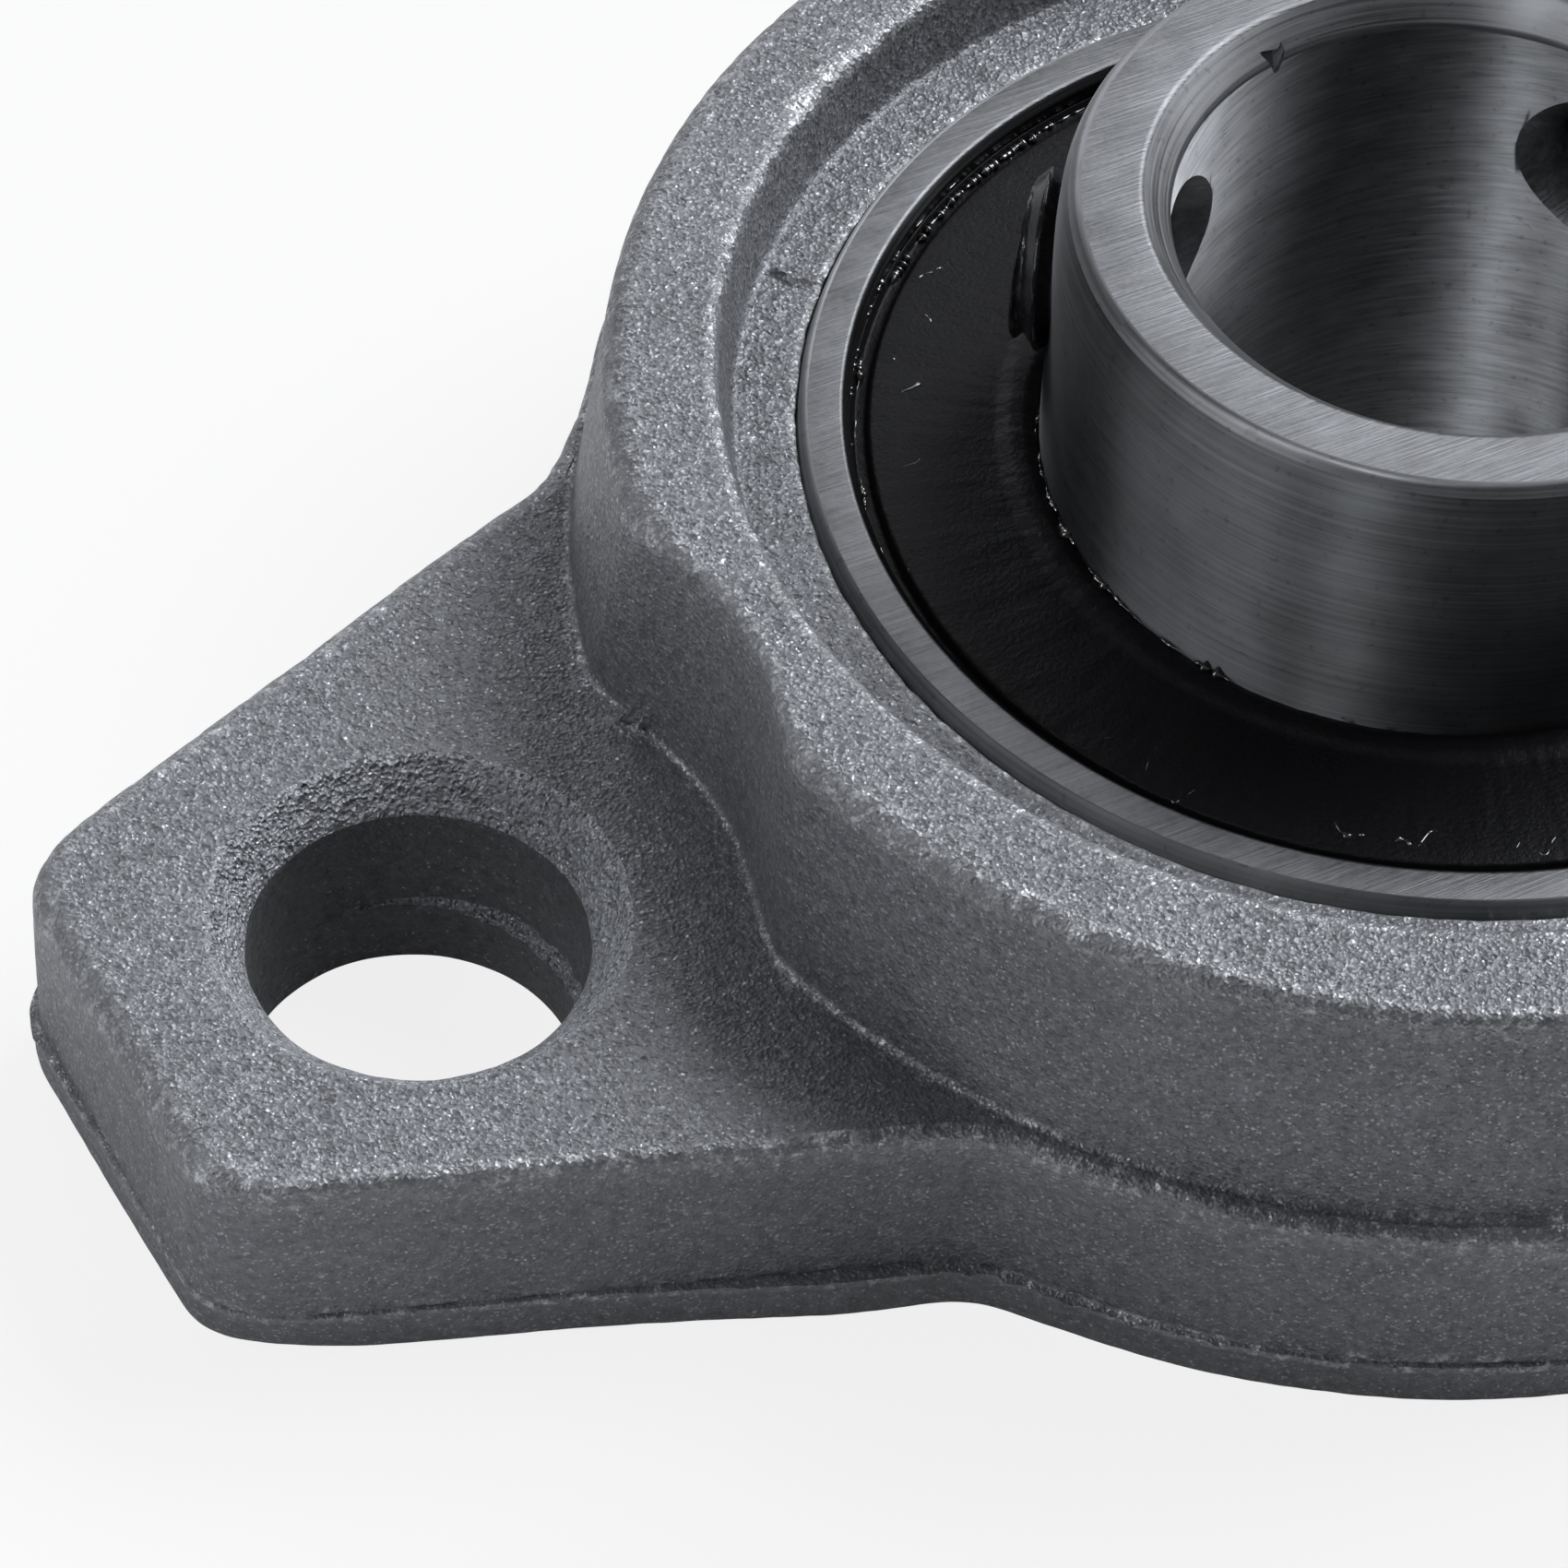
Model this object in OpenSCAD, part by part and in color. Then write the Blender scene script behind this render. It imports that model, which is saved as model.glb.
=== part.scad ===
// Two-bolt flange bearing for a 12 mm shaft.
// A die-cast zinc housing holds a self-aligning insert bearing in a spherical seat.
// Sizes are in millimetres. The origin is on the mounting face, under the bearing centre.
// +Z points along the shaft to the collar end, and +X runs along the line of the two bolts.

/* [Flange] */
// Distance between the two bolt holes
bolt_spacing = 48; // [47:0.25:50]
// Overall length along the bolt line
flange_l = 62; // [60:0.5:64]
// Diameter of the round middle of the flange
flange_d = 38; // [37.5:0.25:41]
// Thickness from the mounting face to the top of the ears
flange_t = 5.5; // [4.75:0.25:6]
// Diameter of each bolt hole
bolt_hole_d = 7; // [5.5:0.1:7.4]
// Width of the countersink round the bolt hole
bolt_chamfer = 0.9; // [0.3:0.1:1.1]
// Width of the ear across its flat end
ear_end_w = 9.9; // [9:0.1:12]
// Width of the ear where it meets the round middle
ear_root_w = 21; // [19:0.25:23]
// Distance from the centre to that root
ear_root_x = 15.4; // [14.5:0.1:16]
// Radius of the two corners of an ear end
corner_r = 2.2; // [1.2:0.1:3]
// Radius that blends the ear side into the round middle
neck_r = 3; // [1:0.25:5]
// Rounding of the flange's top edges
edge_r = 0.6; // [0.3:0.05:0.9]

/* [Die halves] */
// Height of the parting line above the mounting face
parting_z = 1.3; // [0.8:0.1:2]
// Step at the parting line, where the lower half stands proud
parting_step = 0.1; // [0.05:0.05:0.2]
// Rounding of that step
parting_r = 0.08; // [0.04:0.01:0.15]

/* [Boss] */
// Height of the rim above the mounting face
housing_h = 11; // [10.5:0.1:12.5]
// Diameter of the boss at its foot
boss_d = 36.6; // [36:0.1:37.2]
// Amount by which the boss wall leans in over its height
boss_draft = 0.65; // [0.3:0.05:0.9]
// Rounding of the boss's top edge
boss_edge_r = 0.35; // [0.2:0.05:0.6]
// Fillet between the boss and the ear
foot_r = 0.45; // [0.2:0.05:0.6]
// Radius of the scallop that clears the bolt head, at its foot
scallop_r = 7; // [6:0.1:7.2]
// Amount by which the scallop opens towards the rim
scallop_draft = 0.45; // [0.1:0.05:0.5]
// Inner diameter of the rim at the top
rim_d = 30.5; // [30.2:0.1:31]
// Rounding of the rim's inner edge
rim_edge_r = 0.25; // [0.1:0.05:0.4]
// Depth of the pressed recess below the rim
recess_depth = 1.7; // [1.4:0.1:2]
// Amount by which the recess wall leans in
recess_lean = 0.3; // [0.1:0.05:0.5]
// Chamfer round the opening in the mounting face
back_chamfer = 0.35; // [0.1:0.05:0.5]

/* [Bearing] */
// Shaft size, the bore of the inner ring
shaft_d = 12; // [11.5:0.1:12.4]
// Height of the bearing centre above the mounting face
bearing_z = 5.5; // [5.3:0.1:5.7]
// Diameter of the spherical outside of the outer ring
outer_d = 28; // [27.8:0.05:28.2]
// Width of the outer ring
outer_w = 8; // [7.9:0.05:8.2]
// Running clearance between the outer ring and its seat
seat_gap = 0.03; // [0.02:0.01:0.08]
// Inner diameter of the outer ring's shoulders
outer_shoulder_d = 23.3; // [23:0.1:23.6]
// Outside diameter of the inner ring and its collar
collar_d = 16.7; // [16.3:0.1:17]
// Length of the inner ring
inner_l = 14.5; // [14:0.1:16]
// Height of the collar above the face of the outer ring
collar_out = 6.5; // [6:0.1:7]
// Chamfer at the collar mouth of the bore
bore_chamfer = 0.66; // [0.3:0.02:0.8]
// Width of the other chamfers of the inner ring
ring_chamfer = 0.32; // [0.2:0.02:0.5]
// Height of the chamfer round the outside of the collar
collar_chamfer_h = 0.42; // [0.2:0.02:0.6]

/* [Balls and cage] */
// Ball diameter
ball_d = 4.762; // [4.5:0.001:4.9]
// Diameter of the circle of ball centres
pitch_d = 20; // [19.9:0.05:20.1]
// Clearance between a ball and each race
ball_gap = 0.02; // [0.01:0.005:0.04]
// Radius of a race as a share of the ball diameter
race_share = 0.52; // [0.515:0.005:0.54]
// Sheet thickness of the cage
cage_t = 0.3; // [0.2:0.02:0.34]
// Clearance between a ball and its cage pocket
pocket_gap = 0.05; // [0.02:0.01:0.08]
// Width of the cage ribbon across the pitch circle
cage_w = 2.2; // [1.8:0.1:2.4]
// Diameter of a cage rivet
rivet_d = 0.8; // [0.6:0.05:0.9]
// Height of a rivet head
rivet_head_h = 0.22; // [0.1:0.02:0.3]

/* [Seals] */
// Clearance between the cage and the steel insert of a seal
cage_clear = 0.17; // [0.1:0.01:0.25]
// Thickness of the steel insert
seal_insert_t = 0.25; // [0.15:0.01:0.3]
// Thickness of the rubber over the steel insert
seal_rubber = 0.35; // [0.3:0.01:0.4]
// Diameter of the groove that the seal snaps into
seal_groove_d = 25.1; // [25:0.05:25.2]
// Overhang of the ring that keeps the seal in its groove
seal_snap = 0.15; // [0.05:0.01:0.2]
// Play of the seal under that overhang
groove_gap = 0.05; // [0.02:0.01:0.08]
// Width of the rubber bead outside the steel insert
bead_w = 0.45; // [0.35:0.01:0.5]
// Depth by which the bead reaches behind the steel insert
bead_drop = 0.3; // [0.2:0.01:0.4]
// Width and depth of the trough round the outside of the seal
trough = 0.25; // [0.15:0.01:0.3]
// Distance from the collar to the steel insert
insert_inset = 0.95; // [0.8:0.01:1.1]
// Width of the sealing lip
lip_w = 0.3; // [0.2:0.01:0.4]
// Thickness of the lip at its edge
lip_edge = 0.15; // [0.1:0.01:0.2]
// Clearance between the sealing lip and the inner ring
lip_gap = 0.02; // [0.01:0.01:0.06]
// Height of the raised band on the lip
lip_rise = 0.1; // [0.05:0.01:0.15]

/* [Set screws] */
// Thread size of the set screws
screw_d = 4; // [3:0.1:4.1]
// Length of a set screw
screw_l = 3; // [2.6:0.1:4]
// Height of the screw axes above the mounting face
screw_z = 12.2; // [11.6:0.1:12.8]
// Direction of the first screw, measured from +X
screw_angle = 20; // [0:1:90]
// Angle from the first screw to the second
screw_spread = 120; // [90:1:135]
// Size of the hexagon socket across its flats
hex_af = 2; // [1.5:0.1:2.2]
// Depth of the hexagon socket
hex_depth = 1.4; // [1:0.1:1.8]
// Depth of the cup in the point
cup_depth = 0.45; // [0.2:0.05:0.6]
// Chamfer at the socket end
screw_chamfer = 0.25; // [0.1:0.05:0.4]
// Clearance between the screw and its hole
screw_gap = 0.03; // [0.02:0.01:0.06]
// Distance from the screw point to the bore, so that the shaft slides in
screw_back = 0.05; // [0.02:0.01:0.2]

/* [Hidden] */
$fn = 96;
eps = 0.01;
// How far a cutting shape runs past the surface that it cuts
over = 1;
// One node for each ball, so this number and the node list change together
ball_n = 8;
// Places along the shaft
shelf_z = housing_h - recess_depth;
inner_z0 = bearing_z + outer_w / 2 + collar_out - inner_l;
inner_z1 = inner_z0 + inner_l;
// Slope of an ear side
ear_slope = (ear_root_w - ear_end_w) / 2 / (flange_l / 2 - ear_root_x);
ear_tilt = sqrt(1 + ear_slope * ear_slope);
// Radii round the shaft
seat_r = outer_d / 2 + seat_gap;
race_r = ball_d * race_share;
groove_r = seal_groove_d / 2;
mouth_r = groove_r - seal_snap;
insert_r0 = collar_d / 2 + insert_inset;
insert_r1 = groove_r - bead_w;
lip_r0 = collar_d / 2 + lip_gap;
lip_r1 = collar_d / 2 + lip_w;
// Distances from the bearing's middle plane outwards, from the cage to the seal face
pocket_r = ball_d / 2 + pocket_gap;
insert_d0 = pocket_r + cage_t + cage_clear;
insert_d1 = insert_d0 + seal_insert_t;
seal_d1 = insert_d1 + seal_rubber;
groove_d0 = insert_d0 - bead_drop;
groove_d1 = seal_d1 - groove_gap;
mouth_d = seal_d1 + (outer_w / 2 - seal_d1) * 0.6;
// Set screws
screw_r = screw_d / 2 - screw_gap;
screw_in = shaft_d / 2 + screw_back;

// Points of a circular arc in the plane of a profile
function arc(cx, cy, r, a0, a1, n = 6) =
    [for (i = [0:n]) let (a = a0 + (a1 - a0) * i / n) [cx + r * cos(a), cy + r * sin(a)]];

// Half width of an ear at a distance x from the centre
function ear_half(x) = ear_end_w / 2 + ear_slope * (flange_l / 2 - x);

// A round post with a rounded top edge, and a hull over four of them makes an ear
module post(r, h, e) {
    rotate_extrude($fn = 48) polygon(concat([[0, 0], [r, 0]], arc(r - e, h - e, e, 0, 90, 4), [[0, h]]));
}

// The two ears of one die half, z 0 to h, drawn in by inset
module ear(h, e, inset) {
    // the inner posts lie well under the boss
    tip_x = flange_l / 2 - corner_r;
    buried_x = ear_root_x * 0.65;
    for (side = [0, 180]) rotate([0, 0, side]) hull()
        for (x = [tip_x, buried_x], m = [-1, 1])
            translate([x, m * (ear_half(x) - corner_r * ear_tilt), 0]) post(corner_r - inset, h, e);
}

// Blends the straight side of an ear into the round middle
module neck(h, e, inset) {
    // centre of a circle that touches the ear side and the round middle from outside
    big = flange_d / 2 + neck_r;
    k = ear_end_w / 2 + ear_slope * flange_l / 2 + neck_r * ear_tilt;
    cx = (ear_slope * k + sqrt(big * big * ear_tilt * ear_tilt - k * k)) / (ear_tilt * ear_tilt);
    cy = k - ear_slope * cx;
    // where it touches them, and three corners that lie well inside the flange
    touch = [cx - neck_r * ear_slope / ear_tilt, cy - neck_r / ear_tilt];
    meet = [cx, cy] * flange_d / 2 / big;
    buried = [[cx * 0.8, cy * 0.55], touch + neck_r * [0.3, -0.4]];
    r = neck_r + inset;
    difference() {
        linear_extrude(h) polygon(concat(buried, [touch, [cx, cy], meet, meet * 0.9]));
        translate([cx, cy, 0]) rotate_extrude() polygon(concat(
            [[0, -over], [r, -over], [r, h - e]], arc(r + e, h - e, e, 180, 90, 4),
            [[r + e, h + over], [0, h + over]]));
    }
}

// Flange plate of one die half
module plate(h, e, inset) {
    ear(h, e, inset);
    r = flange_d / 2 - inset;
    rotate_extrude() polygon(concat([[0, 0], [r, 0]], arc(r - e, h - e, e, 0, 90, 4), [[0, h]]));
    for (a = [0, 1], b = [0, 1]) mirror([a, 0, 0]) mirror([0, b, 0]) neck(h, e, inset);
}

module boss() {
    r0 = boss_d / 2;
    r1 = r0 - boss_draft;
    hollow_r = scallop_r + scallop_draft;
    difference() {
        rotate_extrude() polygon(concat(
            [[0, flange_t / 2], [r0 + foot_r, flange_t / 2]],
            arc(r0 + foot_r, flange_t + foot_r, foot_r, 270, 180, 5),
            arc(r1 - boss_edge_r, housing_h - boss_edge_r, boss_edge_r, 6, 90, 6),
            [[0, housing_h]]));
        // scallops that clear the bolt heads, with the same fillet at the foot
        for (s = [-1, 1]) translate([s * bolt_spacing / 2, 0, 0]) rotate_extrude() polygon(concat(
            [[0, flange_t]], arc(scallop_r - foot_r, flange_t + foot_r, foot_r, 270, 360, 5),
            [[hollow_r, housing_h], [hollow_r, housing_h + over], [0, housing_h + over]]));
    }
}

// Everything that is cut out of the casting along the shaft axis
module housing_bore() {
    rim_r = rim_d / 2;
    back_r = sqrt(seat_r * seat_r - bearing_z * bearing_z);
    rotate_extrude() polygon(concat(
        [[0, shelf_z], [rim_r - recess_lean, shelf_z], [rim_r, housing_h - rim_edge_r]],
        arc(rim_r + rim_edge_r, housing_h - rim_edge_r, rim_edge_r, 180, 90, 4),
        [[rim_r + rim_edge_r, housing_h + over], [0, housing_h + over]]));
    translate([0, 0, bearing_z]) sphere(seat_r);
    translate([0, 0, -over])
        cylinder(r1 = back_r + back_chamfer + over, r2 = back_r, h = back_chamfer + over);
}

module bolt_hole() {
    r = bolt_hole_d / 2;
    translate([0, 0, -over]) cylinder(r = r, h = flange_t + 2 * over);
    translate([0, 0, flange_t - bolt_chamfer])
        cylinder(r1 = r, r2 = r + bolt_chamfer + over, h = bolt_chamfer + over);
}

module housing() color([0.43, 0.44, 0.46]) difference() {
    union() {
        plate(parting_z, parting_r, 0);
        plate(flange_t, edge_r, parting_step);
        boss();
    }
    housing_bore();
    for (s = [-1, 1]) translate([s * bolt_spacing / 2, 0, 0]) bolt_hole();
}

// Torus that cuts a race: side is 1 for the outer ring and -1 for the inner one
module race(side) {
    middle_r = pitch_d / 2 + side * (ball_d / 2 + ball_gap - race_r);
    translate([0, 0, bearing_z]) rotate_extrude() translate([middle_r, 0]) circle(race_r);
}

module outer_ring() color([0.62, 0.62, 0.61]) difference() {
    intersection() {
        translate([0, 0, bearing_z]) sphere(outer_d / 2);
        translate([0, 0, bearing_z - outer_w / 2]) cylinder(d = outer_d + over, h = outer_w);
    }
    translate([0, 0, bearing_z - outer_w]) cylinder(d = outer_shoulder_d, h = 2 * outer_w);
    race(1);
    // seal grooves and the mouths over them, one at each face
    for (s = [0, 1]) translate([0, 0, bearing_z]) mirror([0, 0, s]) rotate_extrude() polygon([
        [0, groove_d0], [groove_r, groove_d0], [groove_r, groove_d1], [mouth_r, seal_d1],
        [mouth_r, mouth_d], [groove_r + groove_gap, outer_w / 2],
        [groove_r + groove_gap, outer_w], [0, outer_w]]);
}

module inner_ring() color([0.58, 0.58, 0.58]) difference() {
    r0 = shaft_d / 2;
    r1 = collar_d / 2;
    rotate_extrude() polygon([
        [r0 + ring_chamfer, inner_z0], [r1 - ring_chamfer, inner_z0], [r1, inner_z0 + ring_chamfer],
        [r1, inner_z1 - collar_chamfer_h], [r1 - ring_chamfer, inner_z1],
        [r0 + bore_chamfer, inner_z1], [r0, inner_z1 - bore_chamfer], [r0, inner_z0 + ring_chamfer]]);
    race(-1);
    for (a = [screw_angle, screw_angle + screw_spread])
        translate([0, 0, screw_z]) rotate([0, 90, a]) cylinder(d = screw_d, h = collar_d);
}

// Rubber seal, drawn outwards from the bearing's middle plane: the bead in its groove, the trough,
// the flat web over the steel insert, and the raised band that ends in the lip
module seal_rubber_ring() color([0.05, 0.05, 0.055]) rotate_extrude() polygon([
    [groove_r, groove_d0], [groove_r, groove_d1], [mouth_r, groove_d1],
    [groove_r - trough, seal_d1 - trough], [groove_r - 2 * trough, seal_d1 - trough],
    [groove_r - 2.3 * trough, seal_d1],
    [insert_r0, seal_d1], [insert_r0 - lip_w, seal_d1 + lip_rise], [lip_r1, seal_d1 + lip_rise],
    [lip_r0, seal_d1 - lip_rise], [lip_r0, seal_d1 - lip_rise - lip_edge], [lip_r1, insert_d0],
    [insert_r0, insert_d0], [insert_r0, insert_d1], [insert_r1, insert_d1], [insert_r1, groove_d0]]);

module seal_insert_ring() color([0.5, 0.5, 0.52])
    rotate_extrude() translate([insert_r0, insert_d0]) square([insert_r1 - insert_r0, seal_insert_t]);

module seal_front() translate([0, 0, bearing_z]) seal_rubber_ring();
module seal_front_insert() translate([0, 0, bearing_z]) seal_insert_ring();
module seal_back() translate([0, 0, bearing_z]) mirror([0, 0, 1]) seal_rubber_ring();
module seal_back_insert() translate([0, 0, bearing_z]) mirror([0, 0, 1]) seal_insert_ring();

module ball(i) color([0.8, 0.8, 0.8])
    rotate([0, 0, 360 / ball_n * (i - 1)]) translate([pitch_d / 2, 0, bearing_z]) sphere(d = ball_d);
module ball_1() ball(1);
module ball_2() ball(2);
module ball_3() ball(3);
module ball_4() ball(4);
module ball_5() ball(5);
module ball_6() ball(6);
module ball_7() ball(7);
module ball_8() ball(8);

// Places its child at every ball centre, or halfway between the balls, in the middle plane
module at_balls(shift = 0) {
    for (i = [0:ball_n - 1]) rotate([0, 0, 360 / ball_n * (i + shift)]) translate([pitch_d / 2, 0, 0])
        children();
}

// Pressed half of the cage: a pocket round each ball, and flats between them that take the rivets
module cage_half() color([0.66, 0.64, 0.58]) difference() {
    intersection() {
        // the ribbon, a flat ring that is taller than the pockets
        difference() {
            cylinder(d = pitch_d + cage_w, h = ball_d);
            translate([0, 0, -over]) cylinder(d = pitch_d - cage_w, h = ball_d + 2 * over);
        }
        union() {
            cylinder(d = pitch_d + 2 * cage_w, h = cage_t);
            at_balls() sphere(pocket_r + cage_t);
        }
    }
    at_balls() sphere(pocket_r);
    at_balls(0.5) translate([0, 0, -over]) cylinder(d = rivet_d, h = cage_t + 2 * over);
}

module cage_front() translate([0, 0, bearing_z]) cage_half();
module cage_back() translate([0, 0, bearing_z]) mirror([0, 0, 1]) cage_half();

module cage_rivets() color([0.7, 0.68, 0.62]) translate([0, 0, bearing_z]) at_balls(0.5) {
    translate([0, 0, -cage_t]) cylinder(d = rivet_d, h = 2 * cage_t);
    for (s = [0, 1]) mirror([0, 0, s]) translate([0, 0, cage_t])
        cylinder(d1 = rivet_d * 1.7, d2 = rivet_d * 1.1, h = rivet_head_h);
}

// Cup-point set screw with a hexagon socket, pointing at the shaft
module set_screw(angle) color([0.08, 0.08, 0.09])
    translate([0, 0, screw_z]) rotate([0, 90, angle]) translate([0, 0, screw_in]) difference() {
        point_r = screw_r * 0.55;
        cup_r = screw_r * 0.45;
        rotate_extrude() polygon([
            [0, 0], [point_r, 0], [screw_r, screw_r - point_r],
            [screw_r, screw_l - screw_chamfer], [screw_r - screw_chamfer, screw_l], [0, screw_l]]);
        translate([0, 0, -eps]) cylinder(r1 = cup_r, r2 = eps, h = cup_depth);
        translate([0, 0, screw_l - hex_depth])
            cylinder(d = hex_af / cos(30), h = hex_depth + over, $fn = 6);
    }
module set_screw_1() set_screw(screw_angle);
module set_screw_2() set_screw(screw_angle + screw_spread);

housing();
outer_ring();
inner_ring();
seal_front();
seal_front_insert();
seal_back();
seal_back_insert();
cage_front();
cage_back();
cage_rivets();
ball_1();
ball_2();
ball_3();
ball_4();
ball_5();
ball_6();
ball_7();
ball_8();
set_screw_1();
set_screw_2();
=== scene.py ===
# %% [markdown]
# # Two-bolt flange bearing, dressed for the camera
#
# The part is a die-cast zinc flange housing with a sealed, self-aligning insert bearing in it.
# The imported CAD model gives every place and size, and this script puts a finer skin on the pieces
# that show: shot-blasted zinc with worn edges, ground and honed steel, black rubber, black set
# screws and a little grease. Lengths are in millimetres until a mesh is written, then in metres.

# %% The frame, and its box before anything is added
import math

import bmesh
import bpy
import numpy as np
from mathutils import Matrix, Vector, noise


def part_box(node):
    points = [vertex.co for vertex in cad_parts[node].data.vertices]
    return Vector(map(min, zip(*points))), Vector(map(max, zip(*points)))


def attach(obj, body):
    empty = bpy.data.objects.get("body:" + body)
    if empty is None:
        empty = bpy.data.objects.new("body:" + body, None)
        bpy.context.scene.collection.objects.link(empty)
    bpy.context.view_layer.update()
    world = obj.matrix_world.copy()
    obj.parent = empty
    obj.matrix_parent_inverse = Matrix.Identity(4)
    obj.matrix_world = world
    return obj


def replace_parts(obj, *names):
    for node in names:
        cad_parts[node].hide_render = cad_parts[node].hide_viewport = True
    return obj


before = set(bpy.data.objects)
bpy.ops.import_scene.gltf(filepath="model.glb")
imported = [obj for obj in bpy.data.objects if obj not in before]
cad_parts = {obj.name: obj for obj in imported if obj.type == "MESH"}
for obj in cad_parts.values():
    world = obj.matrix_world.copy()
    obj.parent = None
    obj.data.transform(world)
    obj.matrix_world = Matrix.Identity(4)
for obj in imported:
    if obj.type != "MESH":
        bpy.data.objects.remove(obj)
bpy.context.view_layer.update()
MM = 0.001


def box_mm(node):
    low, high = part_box(node)
    return np.array(low) / MM, np.array(high) / MM


housing_low, housing_high = box_mm("housing")
ring_low, ring_high = box_mm("outer_ring")
collar_low, collar_high = box_mm("inner_ring")
flange_l = housing_high[0] - housing_low[0]
flange_r = housing_high[1]
housing_h = housing_high[2]
bearing_z = (ring_low[2] + ring_high[2]) / 2
print("flange", round(flange_l, 2), "long, rim at", round(housing_h, 2), "bearing at", round(bearing_z, 2))

# %% [markdown]
# ## Mesh helpers
#
# Nearly every piece here is turned or cast with soft corners. Box modelling with bevels would do,
# but written sizes are easier to change, so two tools make the pieces: `loft` joins loops of
# points into a skin, and `lathe` turns a profile whose corners are rounded by `soften`. Each
# strip of a profile carries the number of its material, so a ground face, a chamfer and a bore
# can differ on one ring as they do on the real one.


# %% Lofts
def mesh_object(name, points, faces, parts=None):
    mesh = bpy.data.meshes.new(name)
    mesh.from_pydata((np.asarray(points) * MM).tolist(), [], faces)
    if parts is not None:
        mesh.polygons.foreach_set("material_index", parts)
    mesh.validate()
    obj = bpy.data.objects.new(name, mesh)
    bpy.context.scene.collection.objects.link(obj)
    return obj


def outward(obj):
    shape = bmesh.new()
    shape.from_mesh(obj.data)
    bmesh.ops.recalc_face_normals(shape, faces=shape.faces)
    shape.to_mesh(obj.data)
    shape.free()


def loft(name, rows, parts=None, closed=True):
    """Joins loops with equal counts of points. A closed loft joins its last loop to its first."""
    count = len(rows[0])
    strips = len(rows) if closed else len(rows) - 1
    faces = []
    for i in range(strips):
        a, b = i * count, (i + 1) % len(rows) * count
        faces += [(a + k, a + (k + 1) % count, b + (k + 1) % count, b + k) for k in range(count)]
    if not closed:
        last = (len(rows) - 1) * count
        faces += [tuple(range(count))[::-1], tuple(range(last, last + count))]
    per_face = None
    if parts is not None:
        per_face = [parts[i] for i in range(strips) for _ in range(count)]
        per_face += [0] * (len(faces) - len(per_face))
    obj = mesh_object(name, np.concatenate(rows), faces, per_face)
    outward(obj)
    return obj


def smooth(obj, sharp_degrees):
    obj.data.shade_smooth()
    obj.data.set_sharp_from_angle(angle=math.radians(sharp_degrees))


def paint(obj, *finishes):
    """Gives the object its materials, in the order in which its faces count them."""
    for finish in finishes:
        obj.data.materials.append(finish)


# %% Turned profiles
def full_turn(count):
    return np.arange(count) / count * 2 * math.pi


def soften(corners, steps=4):
    """Corners are (radius, height, rounding, material of the side that follows)."""
    points = []
    for i, (r, z, rounding, part) in enumerate(corners):
        here = np.array((r, z))
        before = np.array(corners[i - 1][:2])
        after = np.array(corners[(i + 1) % len(corners)][:2])
        if rounding <= 0:
            points.append((r, z, part))
            continue
        into, out = before - here, after - here
        reach_in = min(rounding, 0.45 * np.linalg.norm(into))
        reach_out = min(rounding, 0.45 * np.linalg.norm(out))
        start = here + into / np.linalg.norm(into) * reach_in
        end = here + out / np.linalg.norm(out) * reach_out
        for k in range(steps + 1):
            t = k / steps
            p = start * (1 - t) ** 2 + here * 2 * t * (1 - t) + end * t * t
            points.append((p[0], p[1], part))
    return points


def lathe(name, corners, turns, shift=0.0):
    """Turns the profile about Z. Heights count from the shift."""
    profile = soften(corners)
    angle = full_turn(turns)
    rows = []
    for r, z, _ in profile:
        rows.append(np.stack([r * np.cos(angle), r * np.sin(angle), np.full(turns, z + shift)], 1))
    return loft(name, rows, [part for _, _, part in profile])


print("one soft corner of a square:", len(soften([(1, 0, 0.1, 0), (1, 1, 0, 0), (0, 1, 0, 0)])) - 2, "points")


# %% A cutter for holes and chips
def cut(obj, cutter):
    """Takes the cutter out of the object and throws the cutter away."""
    tool = obj.modifiers.new("cut", "BOOLEAN")
    tool.operation = "DIFFERENCE"
    tool.solver = "EXACT"
    tool.object = cutter
    seen = obj.evaluated_get(bpy.context.evaluated_depsgraph_get())
    carved = bpy.data.meshes.new_from_object(seen)
    obj.modifiers.clear()
    obj.data = carved
    bpy.data.objects.remove(cutter)


# %% [markdown]
# ## Shader helpers
#
# A picture texture would need unwrapped pieces and could only hold one size of grain. The finishes
# are built instead from noise in the object's own coordinates, counted in millimetres, so a grain
# of 0.1 mm is written as a scale of ten cells per millimetre and stays put on a piece that moves.


# %% Small functions that add shader nodes
def add(tree, kind, links=None, **settings):
    node = tree.nodes.new("ShaderNode" + kind)
    for name, value in settings.items():
        setattr(node, name, value)
    for socket, value in (links or {}).items():
        if isinstance(value, bpy.types.NodeSocket):
            tree.links.new(value, node.inputs[socket])
        else:
            node.inputs[socket].default_value = value
    return node


def new_finish(name, color, roughness, metallic, **sockets):
    material = bpy.data.materials.new(name)
    material.use_nodes = True
    tree = material.node_tree
    tree.nodes.clear()
    surface = add(tree, "BsdfPrincipled")
    output = add(tree, "OutputMaterial")
    tree.links.new(surface.outputs[0], output.inputs["Surface"])
    surface.inputs["Base Color"].default_value = (*color, 1)
    surface.inputs["Roughness"].default_value = roughness
    surface.inputs["Metallic"].default_value = metallic
    for socket, value in sockets.items():
        surface.inputs[socket.replace("_", " ")].default_value = value
    material.diffuse_color = (*color, 1)
    return material, tree, surface


def math_node(tree, operation, a, b=0.0):
    return add(tree, "Math", {0: a, 1: b}, operation=operation).outputs[0]


def vector_node(tree, operation, a, b):
    return add(tree, "VectorMath", {0: a, 1: b}, operation=operation).outputs[0]


def scaled(tree, vector, factor):
    return add(tree, "VectorMath", {0: vector, 3: factor}, operation="SCALE").outputs[0]


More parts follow.
